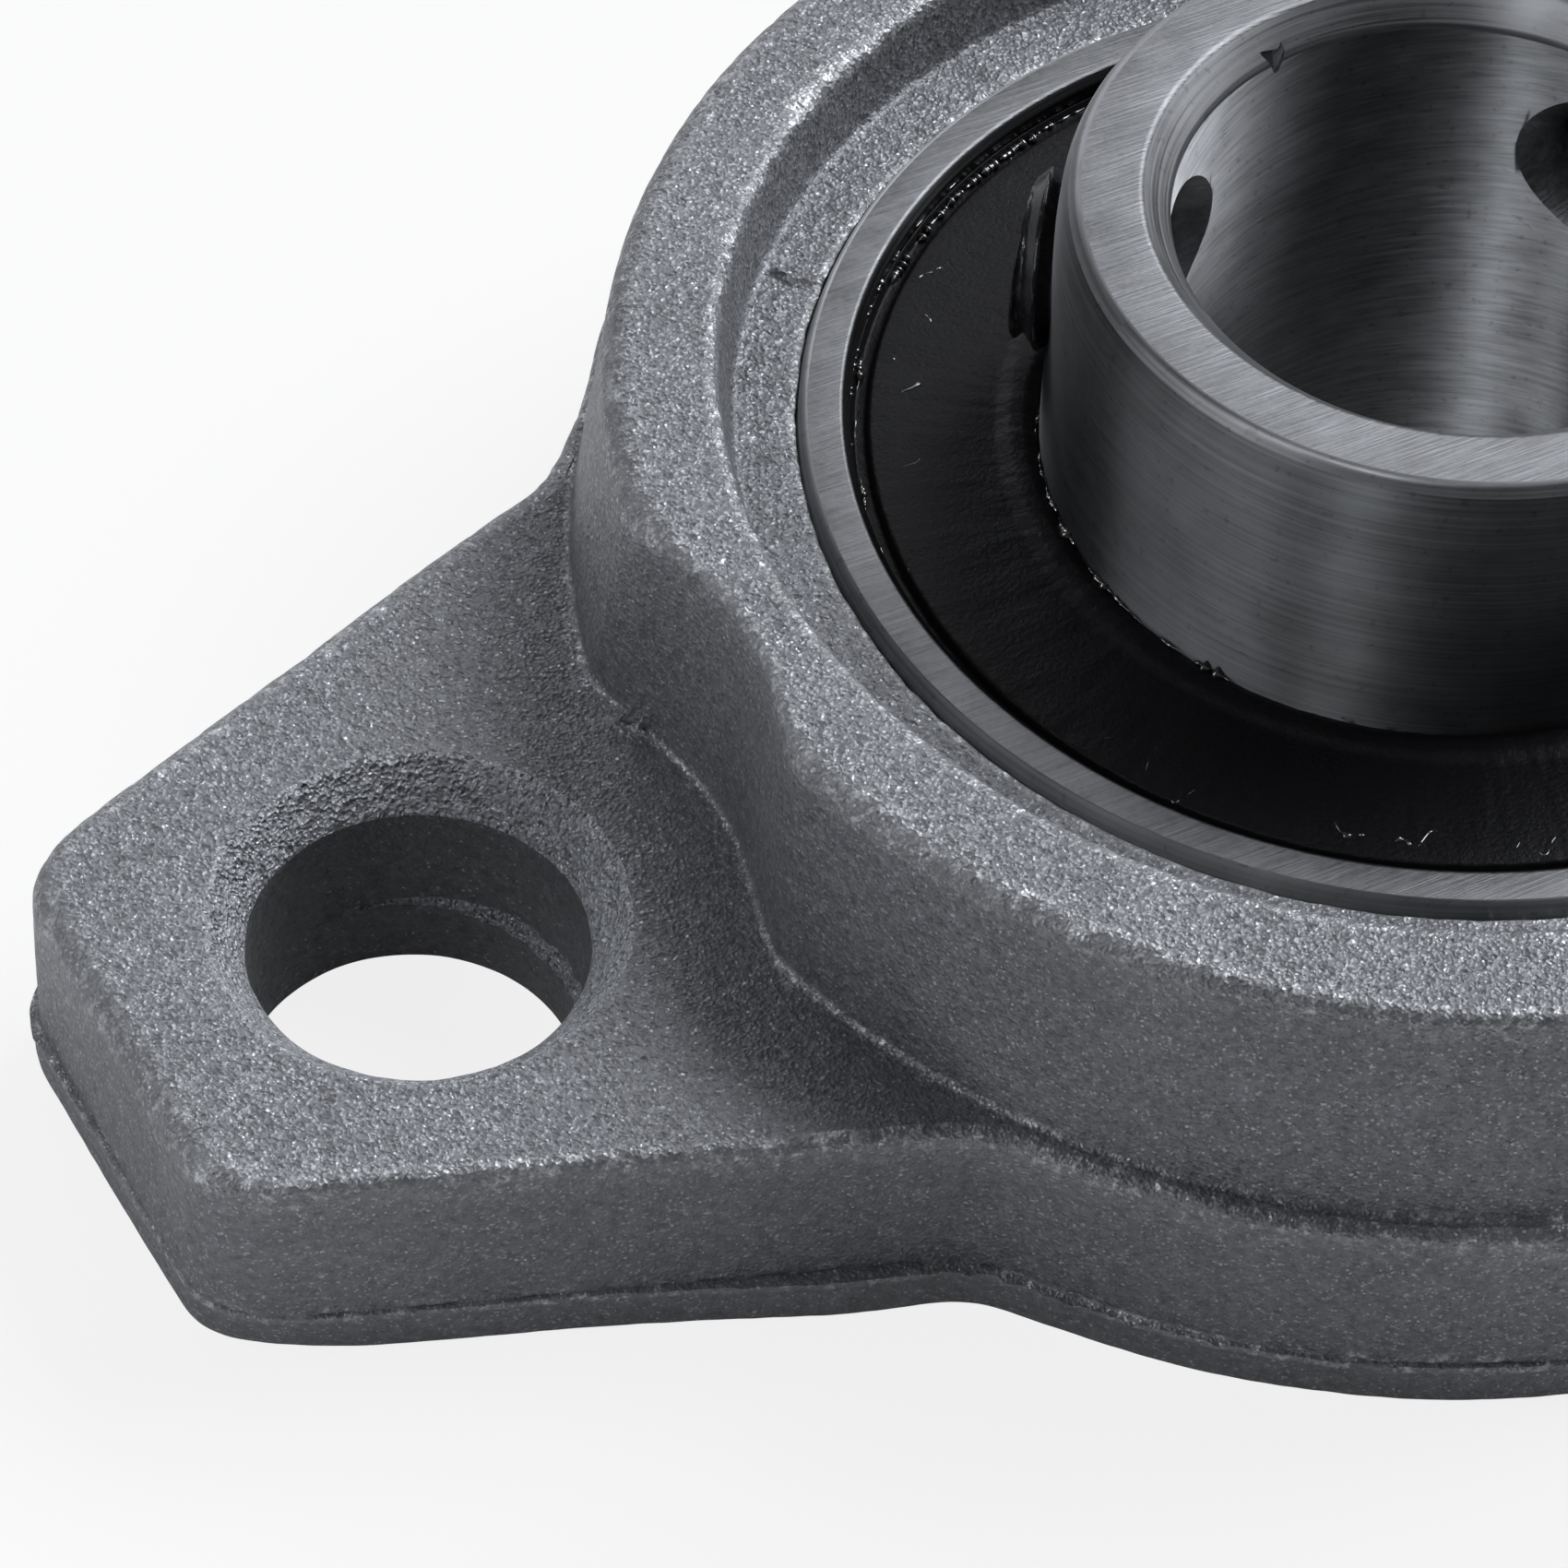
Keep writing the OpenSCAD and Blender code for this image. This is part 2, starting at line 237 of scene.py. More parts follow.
def in_mm(tree, stretch=(1, 1, 1), turn=(0, 0, 0)):
    """The object's own coordinates in millimetres, turned and stretched for a grain that runs."""
    place = scaled(tree, add(tree, "TexCoord").outputs["Object"], 1 / MM)
    return add(tree, "Mapping", {"Vector": place, "Scale": stretch, "Rotation": turn}).outputs[0]


def noise_at(tree, place, scale, detail=2.0, rough=0.5, output="Fac"):
    sockets = {"Vector": place, "Scale": scale, "Detail": detail, "Roughness": rough}
    return add(tree, "TexNoise", sockets).outputs[output]


def cells_at(tree, place, scale):
    return add(tree, "TexVoronoi", {"Vector": place, "Scale": scale}, feature="F1").outputs


def remap(tree, value, low, high, out_low, out_high):
    sockets = {"Value": value, "From Min": low, "From Max": high, "To Min": out_low, "To Max": out_high}
    return add(tree, "MapRange", sockets).outputs["Result"]


def drifting(tree, value, reach):
    """Recentres a noise on 0, so that it moves a shade up and down by about the reach."""
    return remap(tree, value, 0.3, 0.7, -reach, reach)


def mix_colors(tree, factor, first, second):
    node = add(tree, "Mix", None, data_type="RGBA")
    slots = [s for s in node.inputs if s.enabled]
    for slot, value in zip(slots, (factor, first, second)):
        if isinstance(value, bpy.types.NodeSocket):
            tree.links.new(value, slot)
        else:
            slot.default_value = (*value, 1) if isinstance(value, tuple) else value
    return [s for s in node.outputs if s.enabled][0]


def bump(tree, surface, height, depth_mm, strength):
    sockets = {"Height": height, "Distance": depth_mm * MM, "Strength": strength}
    tree.links.new(add(tree, "Bump", sockets).outputs[0], surface.inputs["Normal"])


# %% [markdown]
# ## Shot-blasted zinc
#
# Blasting leaves a field of dents about 0.1 mm wide, each with its own tilt, so the casting
# glitters in grey and blue. Plain noise looks like plaster and modelled dents would be millions of
# faces, so a cell pattern gives every dent one tilt and one shade. The corners that wear in
# handling are lighter and smoother, and a few spots are painted lighter as painted highlights. The
# attribute `wear_and_highlight` on the mesh says where.

# %% Zinc, in four degrees of roughness; the countersink and ledge carry painted light, the hole painted shade
RUBBED_AND_HIGHLIT_ZINC = (0.66, 0.67, 0.69)
GLINT_ZINC = (0.64, 0.66, 0.7)
SPECK_GRAIN = 18.0


def leaning(tree, cells, tilt):
    """A small vector for each cell of a pattern, that tips the surface one way or another."""
    return scaled(tree, vector_node(tree, "SUBTRACT", cells["Color"], (0.5, 0.5, 0.5)), tilt)


def dented_normal(tree, place, dents, large, tilt, crinkle):
    """Each dent faces its own way, on a surface that crinkles as castings do."""
    tips = vector_node(tree, "ADD", leaning(tree, dents, tilt), leaning(tree, large, tilt * 0.4))
    own = add(tree, "NewGeometry").outputs["Normal"]
    normal = vector_node(tree, "ADD", own, tips)
    normal = add(tree, "VectorMath", {0: normal}, operation="NORMALIZE").outputs[0]
    height = math_node(tree, "ADD", noise_at(tree, place, 4.5, 4.0, 0.65), dents["Distance"])
    sockets = {"Height": height, "Distance": crinkle * MM, "Strength": 0.8, "Normal": normal}
    return add(tree, "Bump", sockets).outputs[0]


def zinc_grey(tree, place, shade, pick):
    """Light and dark dents, with clouds some millimetres wide and blotches of a quarter."""
    clouds = drifting(tree, noise_at(tree, place, 0.3, 3.0), 0.1)
    blotches = drifting(tree, noise_at(tree, place, 4.0, 4.0, 0.65), 0.3)
    drift = math_node(tree, "ADD", clouds, blotches)
    tone = math_node(tree, "ADD", remap(tree, pick, 0, 1, 0.32, 0.68), drift)
    dark = tuple(shade * 0.6 * c for c in (0.97, 0.985, 1.03))
    light = tuple(shade * 1.4 * c for c in (0.95, 0.975, 1.045))
    return mix_colors(tree, tone, dark, light)


def make_zinc(name, shade, tilt, grain, glints, crinkle, sparkle=0.5):
    """Dents of 1 / grain mm. Tilt says how far a dent leans, glints how many of the specks shine."""
    material, tree, surface = new_finish(name, (shade, shade, shade), 0.5, 0.5)
    place = in_mm(tree)
    drift = noise_at(tree, place, 5.0, 1.0, output="Color")
    bent = vector_node(tree, "ADD", place, scaled(tree, drift, 0.12))
    dents = cells_at(tree, bent, grain)
    large = cells_at(tree, bent, grain * 0.45)
    specks = cells_at(tree, place, SPECK_GRAIN)
    normal = dented_normal(tree, place, dents, large, tilt, crinkle)
    tree.links.new(normal, surface.inputs["Normal"])
    pick = add(tree, "SeparateColor", {0: dents["Color"]}).outputs
    speck = add(tree, "SeparateColor", {0: specks["Color"]}).outputs[0]
    glint = remap(tree, speck, 1.0 - glints, 1.0, 0.0, 1.0)
    wear_and_highlight = add(tree, "Attribute", None, attribute_name="wear_and_highlight").outputs["Fac"]
    chips = remap(tree, noise_at(tree, place, 3.2, 4.0, 0.7), 0.52, 0.66, 0.0, 0.75)
    # wear and painted highlights both lighten the zinc towards the same colour
    rubbed_and_highlit = math_node(tree, "MULTIPLY", wear_and_highlight, math_node(tree, "ADD", chips, 0.1))
    bright = mix_colors(tree, rubbed_and_highlit, zinc_grey(tree, place, shade, pick[0]), RUBBED_AND_HIGHLIT_ZINC)
    shining = mix_colors(tree, math_node(tree, "MULTIPLY", glint, sparkle), bright, GLINT_ZINC)
    tree.links.new(shining, surface.inputs["Base Color"])
    glint_gloss = math_node(tree, "MULTIPLY", glint, 0.2)
    gloss = math_node(tree, "ADD", glint_gloss, math_node(tree, "MULTIPLY", rubbed_and_highlit, 0.15))
    rough = math_node(tree, "SUBTRACT", remap(tree, pick[1], 0, 1, 0.42, 0.6), gloss)
    tree.links.new(rough, surface.inputs["Roughness"])
    return material


# shade, tilt, grain, glints, crinkle, sparkle
zinc = make_zinc("blasted_zinc", 0.22, 0.34, 11.0, 0.1, 0.032, 0.6)
# the countersink is painted lighter than the flats: painted light; its coarser crinkle is its own
zinc_sink_painted_light = make_zinc("blasted_zinc_sink_painted_light", 0.4, 0.75, 10.0, 0.3, 0.1, 0.8)
# the hole wall is painted darker than the flats: painted shade
zinc_hole_painted_shade = make_zinc("cast_hole_zinc_painted_shade", 0.15, 0.25, 11.0, 0.03, 0.03)
# the ledge finish is much lighter: a painted highlight on the ledge
zinc_ledge_highlight = make_zinc("ledge_zinc_painted_highlight", 0.38, 0.9, 9.0, 0.35, 0.2, 1.0)
print("zinc finishes:", ", ".join(m.name for m in (zinc, zinc_sink_painted_light, zinc_hole_painted_shade, zinc_ledge_highlight)))

# %% [markdown]
# ## Steel
#
# A ground face shows sparse straight scratches, laid in a few directions by the grinding wheel.
# A turned or honed face shows fine marks round the axis, and it's these marks that stretch a
# reflection into a band along the bore. The scratches are stretched noise. The bands come from
# the shader's own anisotropy, with a tangent round the axis, since a bump so fine would flicker.

# %% Ground steel
STEEL_TINT = (0.965, 0.98, 1.02)


def steel(level):
    return tuple(level * c for c in STEEL_TINT)


def make_ground(name, level, roughness, lays, depth):
    """Each lay is (turn in degrees, length and width of a scratch as noise scales)."""
    material, tree, surface = new_finish(name, steel(level), roughness, 1.0)
    height = None
    for turn, long_way, cross_way in lays:
        place = in_mm(tree, (long_way, cross_way, 3.0), (0, 0, math.radians(turn)))
        lines = remap(tree, noise_at(tree, place, 1.0, 2.0, 0.7), 0.4, 0.75, 0.0, 1.0)
        height = lines if height is None else math_node(tree, "ADD", height, lines)
    clouds = noise_at(tree, in_mm(tree), 0.9, 3.0)
    fine = noise_at(tree, in_mm(tree), 9.0, 3.0)
    drift = math_node(tree, "ADD", drifting(tree, clouds, 0.15), drifting(tree, fine, 0.15))
    tone = math_node(tree, "ADD", remap(tree, height, 0, 0.7 * len(lays), 0.3, 0.95), drift)
    shades = mix_colors(tree, tone, steel(level * 0.6), steel(level * 1.45))
    tree.links.new(shades, surface.inputs["Base Color"])
    rough = remap(tree, fine, 0.3, 0.7, roughness - 0.06, roughness + 0.08)
    tree.links.new(rough, surface.inputs["Roughness"])
    bump(tree, surface, math_node(tree, "ADD", height, math_node(tree, "MULTIPLY", fine, 0.5)), depth, 0.8)
    return material


# turn, then how often the noise changes along and across a scratch
ring_lays = ((40, 0.5, 16.0), (-20, 0.7, 22.0), (100, 0.6, 14.0))
collar_lays = ((52, 0.5, 14.0), (-35, 0.6, 18.0), (15, 0.8, 20.0))
ring_face = make_ground("ring_face", 0.17, 0.46, ring_lays, 0.0025)
collar_face = make_ground("collar_face", 0.2, 0.48, collar_lays, 0.004)
print("ground faces with", len(ring_lays), "lays of scratches each")

# %% Turned and honed steel
MARK_R = 7.0


def round_place(tree, along, across):
    """Coordinates that follow the turning marks: arc length, radius and height, in millimetres."""
    x, y, z = add(tree, "SeparateXYZ", {0: in_mm(tree)}).outputs
    angle = math_node(tree, "ARCTAN2", y, x)
    squares = math_node(tree, "ADD", math_node(tree, "MULTIPLY", x, x), math_node(tree, "MULTIPLY", y, y))
    radius = math_node(tree, "SQRT", squares)
    arc = math_node(tree, "MULTIPLY", angle, MARK_R * along)
    return arc, math_node(tree, "MULTIPLY", radius, across), math_node(tree, "MULTIPLY", z, across)


def make_turned(name, level, roughness, depth, lay=0.0, along=0.15, across=14.0, spread=0.6, contrast=0.35):
    """Steel with marks round the axis. A lay above 0 tilts them, as honing does in a bore."""
    material, tree, surface = new_finish(name, steel(level), roughness, 1.0)
    arc, radius, height = round_place(tree, along, across)
    tilted = math_node(tree, "ADD", height, math_node(tree, "MULTIPLY", arc, lay))
    place = add(tree, "CombineXYZ", {0: arc, 1: radius, 2: tilted}).outputs[0]
    lines = noise_at(tree, place, 1.0, 3.0, 0.65)
    clouds = noise_at(tree, in_mm(tree), 0.7, 3.0)
    stain = remap(tree, noise_at(tree, in_mm(tree), 5.0, 3.0), 0.62, 0.7, 0.0, -0.3)
    drift = math_node(tree, "ADD", drifting(tree, clouds, 0.2), stain)
    tone = math_node(tree, "ADD", remap(tree, lines, 0.35, 0.65, 0.2, 0.8), drift)
    shades = mix_colors(tree, tone, steel(level * (1 - contrast)), steel(level * (1 + contrast)))
    tree.links.new(shades, surface.inputs["Base Color"])
    rough = remap(tree, lines, 0.3, 0.7, roughness - 0.06, roughness + 0.1)
    tree.links.new(rough, surface.inputs["Roughness"])
    # the marks scatter light along the axis, across the direction of turning
    round_axis = add(tree, "Tangent", None, direction_type="RADIAL", axis="Z")
    tree.links.new(round_axis.outputs[0], surface.inputs["Tangent"])
    surface.inputs["Anisotropic"].default_value = spread
    surface.inputs["Anisotropic Rotation"].default_value = 0.25
    bump(tree, surface, lines, depth, 0.8)
    return material


chamfer = make_turned("chamfer", 0.2, 0.42, 0.002)
collar_wall = make_turned("collar_wall", 0.16, 0.55, 0.002, spread=1.0)
honing = {"lay": 2.2, "along": 0.5, "across": 8.0, "spread": 1.0, "contrast": 0.4}
honed_bore = make_turned("honed_bore", 0.3, 0.55, 0.003, **honing)
race_steel = make_turned("race_steel", 0.55, 0.16, 0.001)
turned_ring = make_turned("turned_ring", 0.22, 0.5, 0.003, spread=0.9)
oiled_groove = make_turned("oiled_groove", 0.035, 0.24, 0.004)
print("marks of honing are about", round(1 / honing["across"], 3), "mm wide")

# %% [markdown]
# ## Rubber, black oxide, grease and the steels inside
#
# These have no marks of their own, only a skin that is a little uneven. The rubber is nearly black
# with a leathery bump, the oxide is a thin dark layer that still shines like metal, and the grease
# is dark, wet and very glossy. One function with a shade, a gloss and one noise makes them all.


# %% Plain finishes
def make_plain(name, color, roughness, metallic, depth, scale, **sockets):
    material, tree, surface = new_finish(name, color, roughness, metallic, **sockets)
    clouds = noise_at(tree, in_mm(tree), scale, 4.0, 0.6)
    dark = tuple(c * 0.7 for c in color)
    light = tuple(min(1.0, c * 1.3) for c in color)
    shades = mix_colors(tree, remap(tree, clouds, 0.3, 0.7, 0, 1), dark, light)
    tree.links.new(shades, surface.inputs["Base Color"])
    rough = remap(tree, clouds, 0.3, 0.7, roughness - 0.06, roughness + 0.08)
    tree.links.new(rough, surface.inputs["Roughness"])
    bump(tree, surface, clouds, depth, 0.7)
    return material


NEAR_BLACK = (0.006, 0.006, 0.007)
OXIDE_BLACK = (0.02, 0.02, 0.022)
GREASE_BLACK = (0.02, 0.02, 0.02)
rubber = make_plain("seal_rubber", NEAR_BLACK, 0.4, 0.0, 0.035, 9.0, Specular_IOR_Level=0.13)
black_oxide = make_plain("black_oxide", OXIDE_BLACK, 0.22, 0.4, 0.01, 5.0)
grease_finish = make_plain("grease", GREASE_BLACK, 0.14, 0.0, 0.004, 5.0, Specular_IOR_Level=1.0, IOR=1.9)
chrome_steel = make_plain("chrome_steel", (0.7, 0.7, 0.71), 0.1, 1.0, 0.001, 2.0)
pressed_steel = make_plain("pressed_steel", (0.48, 0.47, 0.44), 0.3, 1.0, 0.004, 7.0)
plain = (rubber, black_oxide, grease_finish, chrome_steel, pressed_steel)
print("plain finishes:", ", ".join(m.name for m in plain))

# %% [markdown]
# ## The housing
#
# Two die halves cast the housing, so its outline is one shape with a small step and a ragged
# flash where they meet. The outline is a round middle with an ear at each side, and the boss on
# top is a drafted cylinder with a scallop that clears each bolt head. Union and bevel modifiers
# leave creases where the boss, the scallops and the ears run into each other, so all of it is one
# loft: from the mounting face up the wall, over the edge, across the ear, up the boss, over the
# rim and down the recess into the spherical seat.

# %% A quarter of the flange's outline
bolt_spacing = 48.0
flange_t = 5.5
ear_end_w = 9.9
ear_root_w = 21.0
ear_root_x = 15.4
corner_r = 2.2
neck_r = 3.0
ear_slope = (ear_root_w - ear_end_w) / 2 / (flange_l / 2 - ear_root_x)
ear_tilt = math.hypot(1, ear_slope)


def arc_points(center, radius, start, end, count, inward=False):
    """Points and outward normals of an arc. Inward is for a hollow corner."""
    angle = np.linspace(start, end, count)
    unit = np.stack([np.cos(angle), np.sin(angle)], 1)
    return np.array(center) + radius * unit, -unit if inward else unit


def quarter_outline():
    corner_x = flange_l / 2 - corner_r
    corner_y = ear_end_w / 2 + ear_slope * corner_r - corner_r * ear_tilt
    side = math.atan2(1, ear_slope)
    reach = flange_r + neck_r
    k = ear_end_w / 2 + ear_slope * flange_l / 2 + neck_r * ear_tilt
    neck_x = (ear_slope * k + math.sqrt((reach * ear_tilt) ** 2 - k * k)) / ear_tilt ** 2
    neck_y = k - ear_slope * neck_x
    home = math.atan2(neck_y, neck_x)
    end_y = np.linspace(0, corner_y, 40)[:-1]
    end = np.stack([np.full(len(end_y), flange_l / 2), end_y], 1), np.tile((1.0, 0.0), (len(end_y), 1))
    corner = arc_points((corner_x, corner_y), corner_r, 0, side, 60)
    neck = arc_points((neck_x, neck_y), neck_r, side - math.pi, home - math.pi, 60, inward=True)
    t = np.linspace(0, 1, 160)[1:-1, None]
    line = corner[0][-1] * (1 - t) + neck[0][0] * t, np.tile((math.cos(side), math.sin(side)), (len(t), 1))
    middle = arc_points((0, 0), flange_r, home, math.pi / 2, 200)
    parts = (end, corner, line, neck, (middle[0][1:], middle[1][1:]))
    return np.concatenate([p for p, _ in parts]), np.concatenate([n for _, n in parts])


def full_outline():
    p, n = quarter_outline()
    back = slice(-2, None, -1)
    half_p = np.concatenate([p, (p * (-1, 1))[back]])
    half_n = np.concatenate([n, (n * (-1, 1))[back]])
    return np.concatenate([half_p, -half_p[1:-1]]), np.concatenate([half_n, -half_n[1:-1]])


dense_p, dense_n = full_outline()
print("outline of", len(dense_p), "points, its ears taper by", round(ear_slope, 3))

# %% The boss, seen from the axis
boss_r = 18.3
boss_draft = 0.65
scallop_r = 7.0
scallop_draft = 0.45


def boss_radius(angle, z, inset):
    """Distance from the axis to the boss wall. The scallop meets the wall in a softened corner."""
    up = np.clip((z - flange_t) / (housing_h - flange_t), 0, 1)
    wall = boss_r - boss_draft * up - inset
    hollow = scallop_r + scallop_draft * up + inset
    along = bolt_spacing / 2 * np.abs(np.cos(angle))
    across = bolt_spacing / 2 * np.sin(angle)
    under = hollow ** 2 - across ** 2
    scallop = np.where(under > 0, along - np.sqrt(np.maximum(under, 0)), 2 * boss_r)
    soft = 1.4 - 0.9 * up
    h = np.clip(0.5 + 0.5 * (scallop - wall) / soft, 0, 1)
    return scallop * (1 - h) + wall * h - soft * h * (1 - h)


print("boss wall at the scallop:", round(float(boss_radius(0.0, flange_t, 0)), 2), "from the axis")

# %% The angles at which every loop has its points, close together where the outline or boss turns
LOOP = 1200
dense_angle = np.unwrap(np.arctan2(dense_p[:, 1], dense_p[:, 0]))
even = np.linspace(0, 2 * math.pi, 6000, endpoint=False)


def at_angle(angle):
    wrapped = np.concatenate([dense_angle, [dense_angle[0] + 2 * math.pi]])
    columns = []
    for values in (dense_p[:, 0], dense_p[:, 1], dense_n[:, 0], dense_n[:, 1]):
        columns.append(np.interp(angle, wrapped, np.append(values, values[0])))
    normal = np.stack(columns[2:], 1)
    return np.stack(columns[:2], 1), normal / np.linalg.norm(normal, axis=1)[:, None]


def steps_along(points):
    return np.linalg.norm(np.roll(points, -1, 0) - points, axis=1)


even_boss = boss_radius(even, flange_t + 3, 0)[:, None] * np.stack([np.cos(even), np.sin(even)], 1)
weight = steps_along(at_angle(even)[0]) + 1.2 * steps_along(even_boss)
spread = np.concatenate([[0], np.cumsum(weight)])
theta = np.interp(np.arange(LOOP) / LOOP * spread[-1], spread, np.append(even, 2 * math.pi))
edge_p, edge_n = at_angle(theta)
spoke = np.stack([np.cos(theta), np.sin(theta)], 1)
print("largest step between points:", round(float(steps_along(edge_p).max()), 3))

# %% [markdown]
# ## Where the casting strays from its drawing
#
# A real die casting is never quite its drawing. The die halves sit a little off each other, flash
# creeps out where they meet, a neck is proud or low and a polished side is rounder. Sculpting
# these would be quick once and hard to repeat, so each is a soft hill along the outline, placed
# where the photograph shows it.


# %% Hills and noise along the outline
def near(x, y, reach):
    """1 on the outline at a place, falling off within reach millimetres."""
    return np.exp(-(np.hypot(edge_p[:, 0] - x, edge_p[:, 1] - y) / reach) ** 2)


def ragged(scale, seed):
    """Noise along the outline, from 0 up, for the flash that the die leaves."""
    return np.array([max(0.0, noise.noise(Vector((x * scale, y * scale, seed)))) for x, y in edge_p])


left_end = np.clip((-edge_p[:, 0] - 29.0) / 1.0, 0, 1)
proud_end = 0.12 * np.clip((edge_p[:, 1] + 3) / 6, 0, 1) * left_end
near_neck = 0.25 * near(-18.5, -9.5, 3.2)
far_neck = 0.42 * near(-14.6, 12.2, 2.3)
corner_worn = 0.25 * near(-30, -5.5, 1.6)
flash = 0.07 * ragged(0.9, 3.0) + 0.05 * ragged(4.0, 8.0)
flash += near(-14, -12.5, 4.0) * (0.05 + 0.3 * ragged(3.0, 5.0)) + near(-31, 4, 1.5) * 0.06
print("flash up to", round(float(flash.max()), 2), "mm")

# %% Edges that are rounder on the polished side
POLISHED = math.radians(150)
foot_r = 0.16
facing = np.arctan2(edge_n[:, 1], edge_n[:, 0])
polished_side = np.clip(np.cos(facing - POLISHED), 0, 1)
room = np.linalg.norm(edge_p, axis=1) - 0.1 - boss_radius(theta, flange_t, 0)
edge_round = np.clip(0.7 * room, 0.1, 0.3 + 0.4 * polished_side)
foot_round = np.clip(0.25 * room, 0.06, foot_r)
# the rim's edge rolls off broadly on one side, but stays crisp over the scallops
scalloped = np.clip((boss_r - boss_draft - boss_radius(theta, housing_h, 0)) / 0.6, 0, 1)
boss_round = 0.24 + 0.38 * np.clip(np.cos(theta - POLISHED), 0, 1) ** 0.8 * (1 - scalloped)
print("rim edge radius", round(float(boss_round.min()), 2), "to", round(float(boss_round.max()), 2))

# %% Loops of the housing
# the die halves don't quite meet: both sit a little off the nominal outline
upper_step, upper_shift = -0.1, np.array((-0.07, 0.1))
lower_step, lower_shift = -0.05, np.array((-0.1, 0.06))


def flat(points, z):
    return np.column_stack([points, np.broadcast_to(z, len(points))])


def upper_loop(offset, z):
    reach = upper_step - far_neck - 0.08 * left_end + offset
    return flat(edge_p + edge_n * reach[:, None] + upper_shift, z)


def lower_loop(offset, z):
    reach = lower_step + proud_end + near_neck - far_neck - 0.1 * left_end + offset
    return flat(edge_p + edge_n * reach[:, None] + lower_shift, z)


def boss_loop(inset, z):
    return flat(boss_radius(theta, z, inset)[:, None] * spoke, z)


def circle_loop(r, z):
    return flat(r * spoke, z)


def between(first, last, count):
    return [first + (last - first) * k / (count + 1) for k in range(1, count + 1)]


mismatch = float(np.hypot(*(upper_shift - lower_shift)))
print("the die halves sit", round(mismatch, 3), "mm off each other")


# %% Up the wall: the lower die half, the flash, then the upper half and its rounded edge
parting_z = 1.3
# height, how far the wall draws in, and the share of the flash
LOWER_WALL = (
    (0, 0.25, 0), (0.04, 0.14, 0), (0.12, 0.07, 0), (0.35, 0.04, 0), (0.6, 0.03, 0),
    (0.85, 0.02, 0), (1.05, 0.01, 0.1), (1.15, 0.0, 0.4), (1.22, 0.01, 0.8), (1.27, 0.03, 1.0),
)
rows = []
for z, inset, share in LOWER_WALL:
    rows.append(lower_loop(flash * share - inset - corner_worn * (1.0 - z / 1.4), z))
rows.append(upper_loop(flash * 0.5 - 0.09 * ragged(1.3, 21.0), parting_z))
rows.append(upper_loop(flash * 0.1, parting_z + 0.03))
rows += [upper_loop(0, z) for z in (1.42, 1.7, 2.1, 2.5, 2.9, 3.3, 3.7, 4.1, 4.4)]
rows += [upper_loop(0, flange_t - edge_round - 0.05)]
for turn in np.radians((10, 22, 34, 46, 58, 70, 80, 90)):
    rows.append(upper_loop(-edge_round * (1 - math.cos(turn)), flange_t - edge_round * (1 - math.sin(turn))))
print("wall:", len(rows), "loops")

# %% Across the ear and up the boss
foot = boss_loop(-foot_round, flange_t)
rows += between(rows[-1], foot, 26) + [foot]
for turn in np.radians((250, 230, 210, 195, 180)):
    rows.append(boss_loop(-foot_round * (1 + math.cos(turn)), flange_t + foot_round * (1 + math.sin(turn))))
rows += [boss_loop(0, z) for z in np.linspace(flange_t + foot_r + 0.1, housing_h - 1.0, 12)]
rows.append(boss_loop(0, housing_h - boss_round - 0.05))
for turn in np.radians((8, 18, 30, 42, 54, 66, 78, 90)):
    rows.append(boss_loop(boss_round * (1 - math.cos(turn)), housing_h - boss_round * (1 - math.sin(turn))))
print("with the boss:", len(rows), "loops")

# %% Over the rim, down the recess and into the seat
rim_r = 15.25
rim_edge_r = 0.25
recess_depth = 1.7
recess_lean = 0.3
back_chamfer = 0.35
seat_r = 14.03
shelf_z = housing_h - recess_depth
shelf_r = rim_r - recess_lean
seat_edge_r = math.sqrt(seat_r ** 2 - (shelf_z - bearing_z) ** 2)
back_r = math.sqrt(seat_r ** 2 - bearing_z ** 2)
# the seat was broached a little off the axis, so its edge is wider on the near side
off_seat = np.array((-0.03, -0.08, 0))

rim = circle_loop(rim_r + rim_edge_r, housing_h)
rows += between(rows[-1], rim, 12) + [rim]
for turn in np.radians((110, 130, 150, 170)):
    r = rim_r + rim_edge_r * (1 + math.cos(turn))
    rows.append(circle_loop(r, housing_h - rim_edge_r * (1 - math.sin(turn))))
wall_foot = circle_loop(shelf_r + 0.03, shelf_z + 0.17)
rows += between(rows[-1], wall_foot, 7) + [wall_foot]
for inset, lift in ((0.02, 0.06), (0.09, 0.01), (0.17, 0)):
    rows.append(circle_loop(shelf_r - inset, shelf_z + lift))
shelf_end = circle_loop(seat_edge_r + 0.11, shelf_z) + off_seat
rows += between(rows[-1], shelf_end, 13) + [shelf_end]
rows += [circle_loop(seat_edge_r + 0.06, shelf_z - 0.05) + off_seat]
for z in np.linspace(shelf_z - 0.25, back_chamfer, 12):
    rows.append(circle_loop(math.sqrt(seat_r ** 2 - (z - bearing_z) ** 2), z))
back = circle_loop(back_r + back_chamfer, 0)
rows += [back] + between(back, rows[0], 6)
housing = loft("housing_skin", rows)
print("housing loft:", len(rows), "loops of", LOOP)

# %% [markdown]
# ## The bolt holes
#
# Both die halves carry a pin for each hole, and where the pins don't quite meet they leave a ledge
# low in the hole. The countersink is part of the die too, so its edge is blurred. A drilled
# cylinder would look too clean: here the cutter is a loft whose rings wander, and it carries its
# own materials into the hole. The hole wall is darker than the blasted outside as painted shade,
# the countersink lighter as painted light, and the ledge's +X side is a painted highlight.

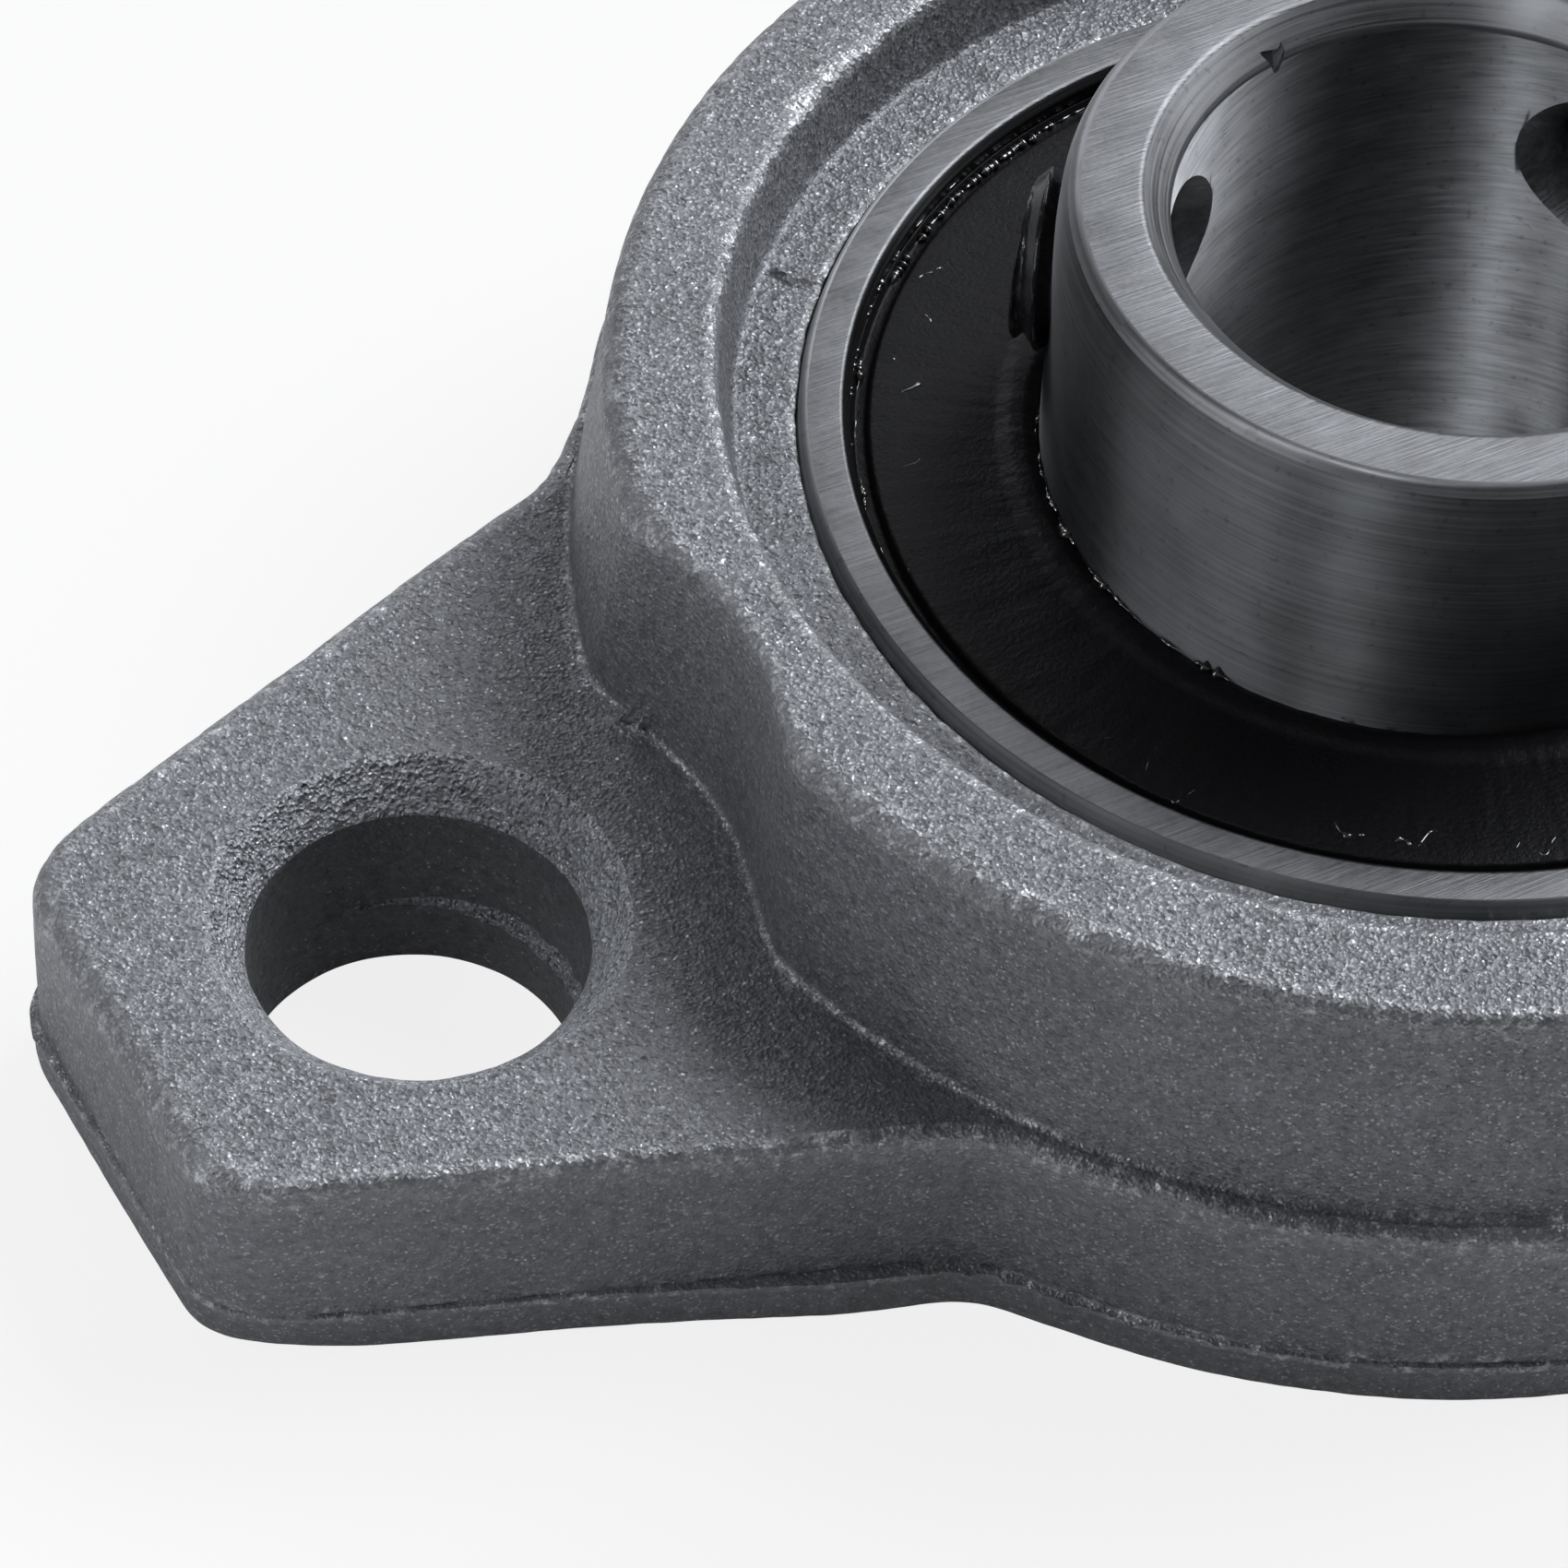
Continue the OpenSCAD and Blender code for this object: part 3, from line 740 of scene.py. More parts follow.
# %% Profile of a hole
SKIN, SINK, SHADED_HOLE, LIT_LEDGE = range(4)
hole_r = 3.6
ledge_z = 1.8
ledge_reach = 0.25
slip = 0.09
hole_walls = (-1, 0.3, 0.9, 1.4, ledge_z - 0.2, ledge_z + 0.16, 2.4, 2.9, 3.4, 3.8, 4.1, 4.4)
# height and how far the hole has widened: a faint slope at first, so the edge looks blurred
countersink = (
    (4.5, 0.0), (4.56, 0.03), (4.66, 0.09), (4.8, 0.18), (4.95, 0.3), (5.1, 0.43), (5.24, 0.55),
    (5.36, 0.66), (5.44, 0.75), (5.49, 0.83), (5.51, 0.92), (5.6, 2.0), (7.0, 3.0),
)
print("hole", 2 * hole_r, "mm wide, its countersink", round(2 * (hole_r + countersink[9][1]), 2))


def bolt_hole(x, turns=260):
    """The cutter of one hole. Its ledge is widest and slopes most on the side towards the bearing."""
    angle = full_turn(turns)
    slope = np.clip(np.cos(angle), 0, 1) ** 1.5
    jag = np.array([noise.noise(Vector((3 * math.cos(a), 3 * math.sin(a), x)) * 4) for a in angle])
    burr = [max(0.0, noise.noise(Vector((9 * math.cos(a), 9 * math.sin(a), 4.0)))) for a in angle]
    loops = []
    for z, widen in [(z, 0.0) for z in hole_walls] + list(countersink):
        wild = 0.02 + 0.07 * min(1.0, widen * 2.5) * (1.0 if widen < 1.2 else 0.0)
        rough = [noise.noise(Vector((x + 5 * math.cos(a), 5 * math.sin(a), z * 2.3))) for a in angle]
        r = hole_r + widen + wild * np.array(rough)
        level = z
        if abs(z - ledge_z) < ledge_reach:
            r = r - 0.2 * np.array(burr)
            level = ledge_z + (0.08 * slope + 0.02 if z > ledge_z else -0.36 * slope - 0.01) + 0.06 * jag
        shift = -slip if z < ledge_z else slip
        loops.append(flat(np.stack([x + shift + r * np.cos(angle), r * np.sin(angle)], 1), level))
    # the last three strips stand above the ear and cut nothing
    parts = [SHADED_HOLE] * len(hole_walls) + [SINK] * (len(countersink) - 3) + [SKIN] * 3
    # the ledge strip takes the light ledge finish, a painted highlight
    parts[hole_walls.index(ledge_z - 0.2)] = LIT_LEDGE
    hole = loft("hole", loops, parts, closed=False)
    # below 3 mm the ledge's -X side takes the darker hole finish, painted shade, so the painted highlight
    # stays on its +X side
    for face in hole.data.polygons:
        if face.center.z < 3 * MM and face.center.x < (x + 0.3) * MM:
            face.material_index = SHADED_HOLE
    return hole


# %% Both holes
hole_finishes = (zinc, zinc_sink_painted_light, zinc_hole_painted_shade, zinc_ledge_highlight)
paint(housing, *hole_finishes)
for side in (-1, 1):
    cutter = bolt_hole(side * bolt_spacing / 2)
    paint(cutter, *hole_finishes)
    cut(housing, cutter)
print("housing with its holes:", len(housing.data.polygons), "faces")

# %% [markdown]
# ## The cast skin
#
# Up close the casting waves a little, its edges are nicked, and whatever stands out wears
# bright. Vertex paint by hand would be lost at every change of shape, so the mesh is measured
# instead: an edge whose normals spread is convex and so wears, and the few marks that the
# photograph shows are added by their places. Some of these are painted highlights: a line along
# the boss's foot, glints along the near parting line, the burr and a spot on the rim's far edge.

# %% Where the marks are
# nicks and rubbed spots: x, y, z and size
NICKS = (
    (-15.35, -8.64, 11.0, 0.16), (-14.4, -10.0, 11.0, 0.22), (-13.4, -11.5, 11.0, 0.2),
    (-30.7, -4.0, 5.4, 0.22), (-8.6, 13.0, 11.0, 0.25),
)
# where the near parting line gets its painted glints, and how far they reach
flash_glint_place, flash_glint_reach = (-12.5, -13.8), 3.2
# where the rim's far edge gets a painted highlight
rim_glint_r, rim_glint_turn = 15.4, math.radians(118)
burr_place, burr_reach, burr_h = (-17.5, 2.75, 5.65), (0.33, 0.36, 0.3), 0.5
fold_place, fold_r, fold_turn, fold_h = (-9.75, 10.25), 0.75, -2.4, 0.16
print(len(NICKS), "nicks, a burr, a fold and a rub mark")


def spot(points, place, reach):
    """A hill of height 1 round a place."""
    return np.exp(-(((points - np.array(place)) / reach) ** 2).sum(1))


def read_mesh(mesh):
    """Points in millimetres, with their normals."""
    points, normals = np.empty(len(mesh.vertices) * 3), np.empty(len(mesh.vertices) * 3)
    mesh.vertices.foreach_get("co", points)
    mesh.vertex_normals.foreach_get("vector", normals)
    return points.reshape(-1, 3) / MM, normals.reshape(-1, 3)


def convexity(mesh, points, normals):
    """How sharply the surface turns outwards at each point."""
    ends = np.empty(len(mesh.edges) * 2, dtype=int)
    mesh.edges.foreach_get("vertices", ends)
    a, b = ends.reshape(-1, 2).T
    gap = points[b] - points[a]
    bend = ((normals[b] - normals[a]) * gap).sum(1) / np.maximum((gap ** 2).sum(1), 0.04 ** 2)
    convex = np.zeros(len(points))
    np.maximum.at(convex, a, bend)
    np.maximum.at(convex, b, bend)
    return convex


# %% How much wear and painted highlight each point has
def wear_and_highlight_share(points, convex, off_hole):
    x, y, z = points.T
    r, turn = np.hypot(x, y), np.arctan2(y, x)
    on_edge = np.clip((convex - 0.7) / 1.2, 0, 1) * off_hole
    wear_and_highlight = on_edge * np.where(z > 4.5, 1.0, z > 1.1)
    # painted highlight: glints along the parting line on the near side, in the lighter wear colour
    flash_glint_zone = np.exp(-((x - flash_glint_place[0]) ** 2 + (y - flash_glint_place[1]) ** 2) / flash_glint_reach ** 2)
    near_parting_band = (z > 1.1) & (z < 1.36) & (y < 0)
    foot_gap = r - boss_radius(turn, flange_t, 0)
    # painted highlight: a thin lighter line along the boss's foot
    foot_crease_highlight = np.exp(-((foot_gap - 0.06) / 0.1) ** 2 - ((z - flange_t - 0.03) / 0.12) ** 2)
    # painted highlight where the rim's far edge catches light, over some wear
    rim_glint = np.exp(-(r - rim_glint_r) ** 2 / 0.15 - ((turn - rim_glint_turn) / 0.17) ** 2)
    marks = [2.5 * flash_glint_zone * near_parting_band, 1.3 * foot_crease_highlight, 2.0 * rim_glint * (z > housing_h - 0.3)]
    marks += [6.0 * spot(points, (x, y, z), (reach, reach, 0.25)) for x, y, z, reach in NICKS]
    for mark in marks:
        wear_and_highlight = np.maximum(wear_and_highlight, mark)
    return wear_and_highlight


# %% How far each point moves
def uneven(points, normals, wear_and_highlight, off_hole):
    """Gentle waves all over, and nicks where the mask of wear and painted highlights is high."""
    moved = points.copy()
    for i in range(len(points)):
        p = Vector(points[i])
        wave = (0.02 * noise.noise(p * 0.5) + 0.012 * noise.noise(p * 2.1)) * off_hole[i]
        nick = 0.05 * max(0.0, noise.noise(p * 1.9 + Vector((9, 4, 2))) - 0.1) * wear_and_highlight[i]
        moved[i] += normals[i] * (wave - nick)
    return moved


def fold_height(points):
    """A curved fold in the shelf, where the metal ran together last."""
    x, y = points[:, 0] - fold_place[0], points[:, 1] - fold_place[1]
    ridge = np.exp(-((np.hypot(x, y) - fold_r) / 0.09) ** 2)
    arc = np.clip(1.5 - np.abs(np.arctan2(y, x) - fold_turn), 0, 1)
    return fold_h * ridge * arc * (np.abs(points[:, 2] - shelf_z) < 0.05)


def cast_skin(obj):
    mesh = obj.data
    points, normals = read_mesh(mesh)
    hole_gap = np.hypot(np.abs(points[:, 0]) - bolt_spacing / 2, points[:, 1])
    off_hole = np.clip((hole_gap - 5.2) / 1.0, 0, 1)
    wear_and_highlight = wear_and_highlight_share(points, convexity(mesh, points, normals), off_hole)
    moved = uneven(points, normals, wear_and_highlight, off_hole)
    burr = spot(points, burr_place, burr_reach)
    lumps = np.array([0.6 + noise.noise(Vector(p) * 5) for p in points])
    moved += normals * (burr_h * burr)[:, None] * lumps[:, None]
    moved[:, 2] += fold_height(points)
    # the seat and the mounting face stay true
    keep = (np.hypot(points[:, 0], points[:, 1]) < seat_edge_r + 0.02) | (points[:, 2] < 0.02)
    moved[keep] = points[keep]
    # the burr is painted lighter too: a painted highlight on the lump
    wear_and_highlight = np.maximum(wear_and_highlight, np.minimum(1.2 * burr, 0.9))
    mesh.vertices.foreach_set("co", (moved * MM).ravel())
    mark = mesh.attributes.new("wear_and_highlight", "FLOAT", "POINT")
    mark.data.foreach_set("value", wear_and_highlight)
    mesh.update()
    print("cast skin:", len(points), "points, worn share", round(float((wear_and_highlight > 0.5).mean()), 3))


cast_skin(housing)
smooth(housing, 50)
housing.modifiers.new("flat_faces_rule", "WEIGHTED_NORMAL").keep_sharp = True
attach(housing, "housing")
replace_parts(housing, "housing")

# %% [markdown]
# ## The outer ring
#
# The ring is turned, hardened and ground. Its outside is part of a sphere, so it can tilt in the
# seat, and inside it has a groove for each seal and the race for the balls. It's round all over,
# so one profile turned by `lathe` makes it, with a material for each way that it was machined.

# %% Profile of the outer ring
FACE, EDGE, WALL, BORE, RACE = range(5)
outer_d = 28.0
half_w = (ring_high[2] - ring_low[2]) / 2
shoulder_r = 11.65
groove_r = 12.55
ball_r = 4.762 / 2
pitch_r = 10.0
race_r = ball_r * 2 * 0.52
face_r = math.sqrt((outer_d / 2) ** 2 - half_w ** 2)
RING_TURNS = 384


def race_corners(side, flank_r):
    """Corners of a race, from the lower flank to the upper one. Side is 1 outside the balls."""
    middle = pitch_r + side * (ball_r + 0.02 - race_r)
    reach = math.acos(side * (flank_r - middle) / race_r)
    corners = []
    for turn in np.linspace(-reach, reach, 17):
        corners.append((middle + side * race_r * math.cos(turn), race_r * math.sin(turn), 0, RACE))
    return corners


def sphere_corners(count):
    top = math.asin((half_w - 0.1) / (outer_d / 2))
    turns = np.linspace(top, -top, count)
    return [(outer_d / 2 * math.cos(t), outer_d / 2 * math.sin(t), 0, WALL) for t in turns]


mouth = [
    (shoulder_r, 2.6, 0.1, EDGE), (groove_r, 2.6, 0, EDGE), (groove_r, 3.45, 0, EDGE),
    (groove_r - 0.15, 3.5, 0.02, EDGE), (groove_r - 0.15, half_w - 0.2, 0.03, EDGE),
    (groove_r + 0.05, half_w, 0.05, EDGE),
]
corners = sphere_corners(25) + [(face_r - 0.06, -half_w, 0.04, FACE)]
corners += [(r, -z, rounding, part) for r, z, rounding, part in mouth[::-1]]
corners += race_corners(1, shoulder_r) + mouth + [(face_r - 0.06, half_w, 0.04, WALL)]
print("outer ring profile:", len(corners), "corners")

# %% Outer ring
# a side that runs level along either end of the ring is a ground face
fixed = []
for i, (r, z, rounding, part) in enumerate(corners):
    next_z = corners[(i + 1) % len(corners)][1]
    level = abs(abs(z) - half_w) < 0.01 and abs(abs(next_z) - half_w) < 0.01
    fixed.append((r, z, rounding, FACE if level else part))
outer_ring = lathe("outer_ring_skin", fixed, RING_TURNS, shift=bearing_z)
paint(outer_ring, ring_face, oiled_groove, turned_ring, honed_bore, race_steel)
smooth(outer_ring, 35)
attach(outer_ring, "outer_ring")
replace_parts(outer_ring, "outer_ring")
print("outer ring:", len(outer_ring.data.polygons), "faces")

# %% [markdown]
# ## The inner ring and its collar
#
# The inner ring is long at one end, and two tapped holes in that collar take the set screws. Holes
# across a round wall leave long thin faces that shade in streaks, so the profile has extra loops
# in the collar and the bore, and a weighted-normal modifier lets the wide faces rule.

# %% Inner ring
shaft_r = 6.0
collar_r = collar_high[0]
bore_chamfer = 0.66
collar_chamfer = 0.32
top = collar_high[2] - bearing_z
bottom = collar_low[2] - bearing_z
corners = [
    (shaft_r, top - bore_chamfer, 0.1, EDGE), (shaft_r + bore_chamfer, top, 0.08, FACE),
    (collar_r - collar_chamfer, top, 0.12, EDGE), (collar_r - 0.07, top - collar_chamfer * 1.4, 0.3, WALL),
    (collar_r, top - 1.5, 0.6, WALL),
]
corners += [(collar_r, z, 0, WALL) for z in np.linspace(top - 2.0, 3.2, 8)]
corners += race_corners(-1, collar_r)[::-1]
corners += [
    (collar_r, bottom + 0.3, 0.1, EDGE), (collar_r - 0.3, bottom, 0.08, FACE),
    (shaft_r + 0.4, bottom, 0.08, EDGE), (shaft_r, bottom + 0.4, 0.08, BORE),
]
corners += [(shaft_r, z, 0, BORE) for z in np.linspace(bottom + 1.0, top - bore_chamfer - 0.4, 18)]
inner_ring = lathe("inner_ring_skin", corners, RING_TURNS, shift=bearing_z)
paint(inner_ring, collar_face, chamfer, collar_wall, honed_bore, race_steel)
print("inner ring:", len(inner_ring.data.polygons), "faces, before its holes")

# %% The tapped holes, and a chip at the bore's mouth
screw_z = 12.2
screw_angles = (20, 140)
tap_r = 2.0
tap_sink_r = 2.6
chip_place, chip_size, chip_depth = (-1.0, 5.98, 15.25), 0.36, 0.3


def placed(points, angle, start):
    """Turns points that run along X so that X leaves the shaft axis at the angle, at screw height."""
    turn = math.radians(angle)
    x, y, z = points[:, 0] + start, points[:, 1], points[:, 2] + screw_z
    return np.stack([x * math.cos(turn) - y * math.sin(turn), x * math.sin(turn) + y * math.cos(turn), z], 1)


def ring_across(r, x, turns):
    angle = full_turn(turns)
    return np.stack([np.full(turns, x), r * np.cos(angle), r * np.sin(angle)], 1)


def chip(place, size, depth):
    """A small cutter with uneven sides that leaves a notch in an edge."""
    x, y, z = place
    turn = np.radians((20, 75, 130, 170, 235, 290, 330))
    tilt = np.array((0.2, -0.2, -0.35, 0.1, 0.25, -0.1, 0.15))
    wide = np.stack([x + size * np.cos(turn), y + size * np.sin(turn), z + depth + size * tilt], 1)
    tip_x, tip_y = x + 0.15 * size * np.cos(turn), y + 0.15 * size * np.sin(turn)
    tip = np.stack([tip_x, tip_y, np.full(len(turn), z - depth)], 1)
    return loft("chip", [tip, wide], closed=False)


for angle in screw_angles:
    tapping = ((tap_sink_r, 4.5), (tap_sink_r, 5.3), (tap_r, 6.2), (tap_r, 9.5))
    loops = [placed(ring_across(r, x, 96), angle, 0) for r, x in tapping]
    cut(inner_ring, loft("tapping", loops, closed=False))
cut(inner_ring, chip(chip_place, chip_size, chip_depth))
smooth(inner_ring, 35)
inner_ring.modifiers.new("wide_faces_rule", "WEIGHTED_NORMAL").keep_sharp = True
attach(inner_ring, "inner_ring")
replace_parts(inner_ring, "inner_ring")
print("inner ring:", len(inner_ring.data.polygons), "faces, with", len(screw_angles), "tapped holes")

# %% [markdown]
# ## The seals
#
# A rubber disc is moulded over a thin steel ring and snaps into the groove. Its outer bead lies
# in a small trough where grease collects, the flat web shows fine radial wrinkles from the mould,
# and a raised band ends in the lip that wipes the inner ring. The wrinkles are in the mesh, so
# they cast real glints, and both seals come from one profile, the back one upside down.

# %% Rubber seals with radial wrinkles
bead_r = 12.54
web_r = 11.97
band_r = 9.27
lip_r = 8.38
seal_z = 3.5
trough_z = 3.25
band_h = 0.1
SEAL_PROFILE = [
    (bead_r, 2.62, 0.02, 0), (bead_r, 3.42, 0.05, 0), (12.4, 3.44, 0.03, 0), (12.3, trough_z, 0.06, 0),
    (12.06, trough_z, 0.08, 0), (web_r, seal_z, 0.08, 0), (11.5, seal_z, 0, 0), (11.0, seal_z, 0, 0),
    (10.5, seal_z, 0, 0), (10.0, seal_z, 0, 0), (9.6, seal_z, 0, 0), (band_r, seal_z, 0.1, 0),
    (9.02, seal_z + band_h, 0.1, 0), (8.66, seal_z + band_h, 0.1, 0), (lip_r, seal_z - 0.1, 0.04, 0),
    (lip_r, seal_z - 0.24, 0.02, 0), (8.65, 2.92, 0.05, 0), (9.28, 2.92, 0, 0), (9.28, 3.16, 0, 0),
    (12.12, 3.16, 0, 0), (12.12, 2.62, 0, 0),
]


def seal(name, upward):
    obj = lathe(name, SEAL_PROFILE, 1200)
    for v in obj.data.vertices:
        x, y, z = v.co / MM
        r, turn = math.hypot(x, y), math.atan2(y, x)
        if z > 3.2 and r < 12.2:
            around = Vector((math.cos(turn) * 11, math.sin(turn) * 11, r * 0.5))
            z += 0.016 * noise.noise(around * 1.6) + 0.014 * noise.noise(around * 4.5)
        v.co = Vector((x, y, (z if upward else -z) + bearing_z)) * MM
    outward(obj)
    smooth(obj, 50)
    paint(obj, rubber)
    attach(obj, "outer_ring")
    return obj


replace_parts(seal("seal_front_skin", True), "seal_front")
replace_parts(seal("seal_back_skin", False), "seal_back")
print("seals reach from", lip_r, "to", bead_r, "from the axis")

# %% [markdown]
# ## Grease
#
# A little grease was squeezed out of the seals and sits in the outer groove and against the lip.
# A fluid simulation would be far too much for it. Each string is a closed ring whose thickness
# comes from noise and sinks into the rubber where there is none, so only separate beads show.
# It's modelled because its glints show the groove.


# %% Strings of grease
def grease(name, r, z, width, arcs, seed, stray=0.0, turns=2400, sides=10):
    """Arcs are (middle, half length, amount) in degrees, degrees and a share of the width."""
    turn = full_turn(turns)
    amount = np.zeros(turns)
    for middle, reach, share in arcs:
        off = (np.degrees(turn) - middle + 180) % 360 - 180
        amount += share * np.clip(1.3 - np.abs(off) / reach, 0, 1)
    beads = np.empty(turns)
    wander = np.empty(turns)
    for i, a in enumerate(turn):
        p = Vector((r * math.cos(a), r * math.sin(a), seed))
        beads[i] = max(0.0, noise.noise(p * 1.3) + 0.15) * max(0.0, noise.noise(p * 7.0) + 0.4)
        wander[i] = noise.noise(p * 2.0 + Vector((3, 1, 7)))
    thick = width * np.clip(amount * beads * 3.2, 0, 1)
    loops = []
    for side in full_turn(sides):
        ring = r + (0.5 * width + stray) * wander + thick * math.cos(side) * 1.2
        lift = z - 0.03 + thick * math.sin(side) * 0.9
        loops.append(np.stack([ring * np.cos(turn), ring * np.sin(turn), lift], 1))
    obj = loft(name, loops)
    smooth(obj, 80)
    paint(obj, grease_finish)
    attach(obj, "outer_ring")
    print(name, "is up to", round(float(thick.max()), 3), "mm thick")


seal_top = seal_z + bearing_z
# where each string lies round the ring, counted from +X
outer_arcs = ((122, 24, 1.0), (165, 22, 0.5), (232, 34, 0.9), (15, 40, 0.6))
mouth_arcs = ((138, 28, 1.0), (235, 30, 0.5))
rim_arcs = ((228, 30, 0.8), (140, 30, 0.6), (330, 40, 0.4))
lip_arcs = ((215, 16, 1.2), (170, 20, 0.6), (70, 40, 0.4))
grease("grease_outer", 12.28, seal_top - 0.14, 0.12, outer_arcs, 2.0)
grease("grease_mouth", 12.42, seal_top + 0.12, 0.1, mouth_arcs, 3.0)
grease("grease_rim", 11.4, seal_top + 0.01, 0.07, rim_arcs, 6.0, stray=0.9)
grease("grease_lip", 8.42, seal_top + 0.03, 0.16, lip_arcs, 11.0)

# %% [markdown]
# ## Set screws
#
# Two black M4 screws with a cup point and a hexagon socket. A screw modifier gives a neat thread
# but leaves its ends to be mended, so each is one loft along its axis: the cup, the thread as a
# wave that climbs one pitch per turn, the chamfer, and the socket.

# %% Threaded screws
screw_r = 1.95
screw_l = 3.0
screw_pitch = 0.7
thread_depth = 0.32
socket_across = 2.0
socket_depth = 1.4
SCREW_TURNS = 144


def set_screw(name, angle):
    phi = full_turn(SCREW_TURNS)
    hexagon = socket_across / 2 / np.cos((phi + math.pi / 6) % (math.pi / 3) - math.pi / 6)

    def ring(r, x):
        return np.stack([np.full(SCREW_TURNS, x), r * np.cos(phi), r * np.sin(phi)], 1)

    loops = [ring(0.03 * screw_r, 0.42), ring(0.42 * screw_r, 0.02), ring(0.5 * screw_r, 0.0)]
    for x in np.linspace(0.03, screw_l - 0.03, 76):
        wave = np.abs(((x / screw_pitch - phi / (2 * math.pi)) % 1) * 2 - 1)
        r = screw_r - thread_depth * np.clip(wave * 1.25 - 0.1, 0, 1)
        limit = min(screw_r * 0.53 + x * 1.35, screw_r - 0.28 + (screw_l - x))
        loops.append(ring(np.minimum(r, limit), x))
    loops += [ring(screw_r - 0.34, screw_l), ring(hexagon + 0.1, screw_l), ring(hexagon, screw_l - 0.1)]
    loops += [ring(hexagon, screw_l - socket_depth), ring(0.03, screw_l - socket_depth - 0.35)]
    loops = [placed(points, angle, shaft_r + 0.05) for points in loops]
    obj = loft(name, loops, closed=False)
    smooth(obj, 40)
    paint(obj, black_oxide)
    return obj


for number, angle in enumerate(screw_angles, 1):
    screw = set_screw(f"set_screw_{number}_skin", angle)
    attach(screw, f"set_screw_{number}")
    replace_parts(screw, f"set_screw_{number}")
print("screws of", round(screw_l / screw_pitch, 1), "turns of thread")

# %% [markdown]
# ## Pieces inside
#
# The balls, the cage and the steel rings in the seals hardly show, so they keep the shapes that
# the CAD model gave them and only get a finish: bright balls, duller pressed steel.

# %% Finishes for the pieces inside
inside = {"ball": chrome_steel, "cage": pressed_steel, "seal": pressed_steel}
dressed = []
for name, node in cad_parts.items():
    finish = inside.get(name.split("_")[0])
    if finish and not node.hide_render:
        node.data.materials.clear()
        node.data.materials.append(finish)
        dressed.append(name)
print("inside:", ", ".join(dressed))

# %% [markdown]
# ## Floor and world
#
# The photograph is a close studio picture on white. Bright lamps would bleach the metal along with
# the floor, so the white is only what the camera sees: Light Path tells a camera ray from the
# light that falls on the part. The floor still takes a soft shadow, and shows a little in gloss.


# %% The pale floor and the white world
def empty_tree(owner):
    owner.use_nodes = True
    owner.node_tree.nodes.clear()
    return owner.node_tree


def seen_directly(tree, path):
    return math_node(tree, "MAXIMUM", path["Is Camera Ray"], path["Is Transmission Ray"])


def make_floor():
    bpy.ops.mesh.primitive_plane_add(size=3, location=(0, 0, 0))
    floor = bpy.context.object
    floor.name = "floor"
    material = bpy.data.materials.new("pale_floor")
    tree = empty_tree(material)
    lit = add(tree, "BsdfDiffuse", {"Color": (0.86, 0.86, 0.86, 1)})
    glow = add(tree, "Emission", {"Color": (1, 1, 1, 1), "Strength": 0.99})
    path = add(tree, "LightPath").outputs
    mirrored = math_node(tree, "MULTIPLY", path["Is Glossy Ray"], 0.12)
    shown = math_node(tree, "MULTIPLY", seen_directly(tree, path), 0.85)
    share = math_node(tree, "MAXIMUM", shown, mirrored)
    both = add(tree, "MixShader", {0: share, 1: lit.outputs[0], 2: glow.outputs[0]})
    output = add(tree, "OutputMaterial")
    tree.links.new(both.outputs[0], output.inputs["Surface"])
    floor.data.materials.append(material)


def make_world():
    world = bpy.data.worlds.new("studio")
    bpy.context.scene.world = world
    tree = empty_tree(world)
    soft = add(tree, "Background", {"Color": (0.94, 0.96, 1, 1), "Strength": 0.04})
    white = add(tree, "Background", {"Color": (1, 1, 1, 1), "Strength": 0.98})
    seen = seen_directly(tree, add(tree, "LightPath").outputs)
    both = add(tree, "MixShader", {0: seen, 1: soft.outputs[0], 2: white.outputs[0]})
    output = add(tree, "OutputWorld")
    tree.links.new(both.outputs[0], output.inputs["Surface"])


make_floor()
make_world()
print("world:", bpy.context.scene.world.name)

# %% [markdown]
# ## Lights
#
# Grey metal shows the lamps more than its own colour, so their places matter more than their
# power. A large soft key hangs to the right, a weaker light stands behind and a small one is close
# on the left. A turned bore answers a lamp with one bright band at the lamp's azimuth, so two
# narrow cones on the bearing alone streak the bore and the collar.


# %% Lamps
def towards(azimuth, elevation):
    """Azimuth is counted from -Y towards +X, so the camera's is negative."""
    a, e = math.radians(azimuth), math.radians(elevation)
    return Vector((math.sin(a) * math.cos(e), -math.cos(a) * math.cos(e), math.sin(e)))


def aimed(name, kind, azimuth, elevation, distance, power, target=(0, 0, 0)):
    back = towards(azimuth, elevation)
    light = bpy.data.lights.new(name, kind)
    light.energy = power
    light.color = (0.95, 0.97, 1.0)
    obj = bpy.data.objects.new(name, light)
    obj.location = Vector(target) * MM + back * distance
    obj.rotation_mode = "QUATERNION"
    obj.rotation_quaternion = (-back).to_track_quat("-Z", "Y")
    bpy.context.scene.collection.objects.link(obj)
    return light


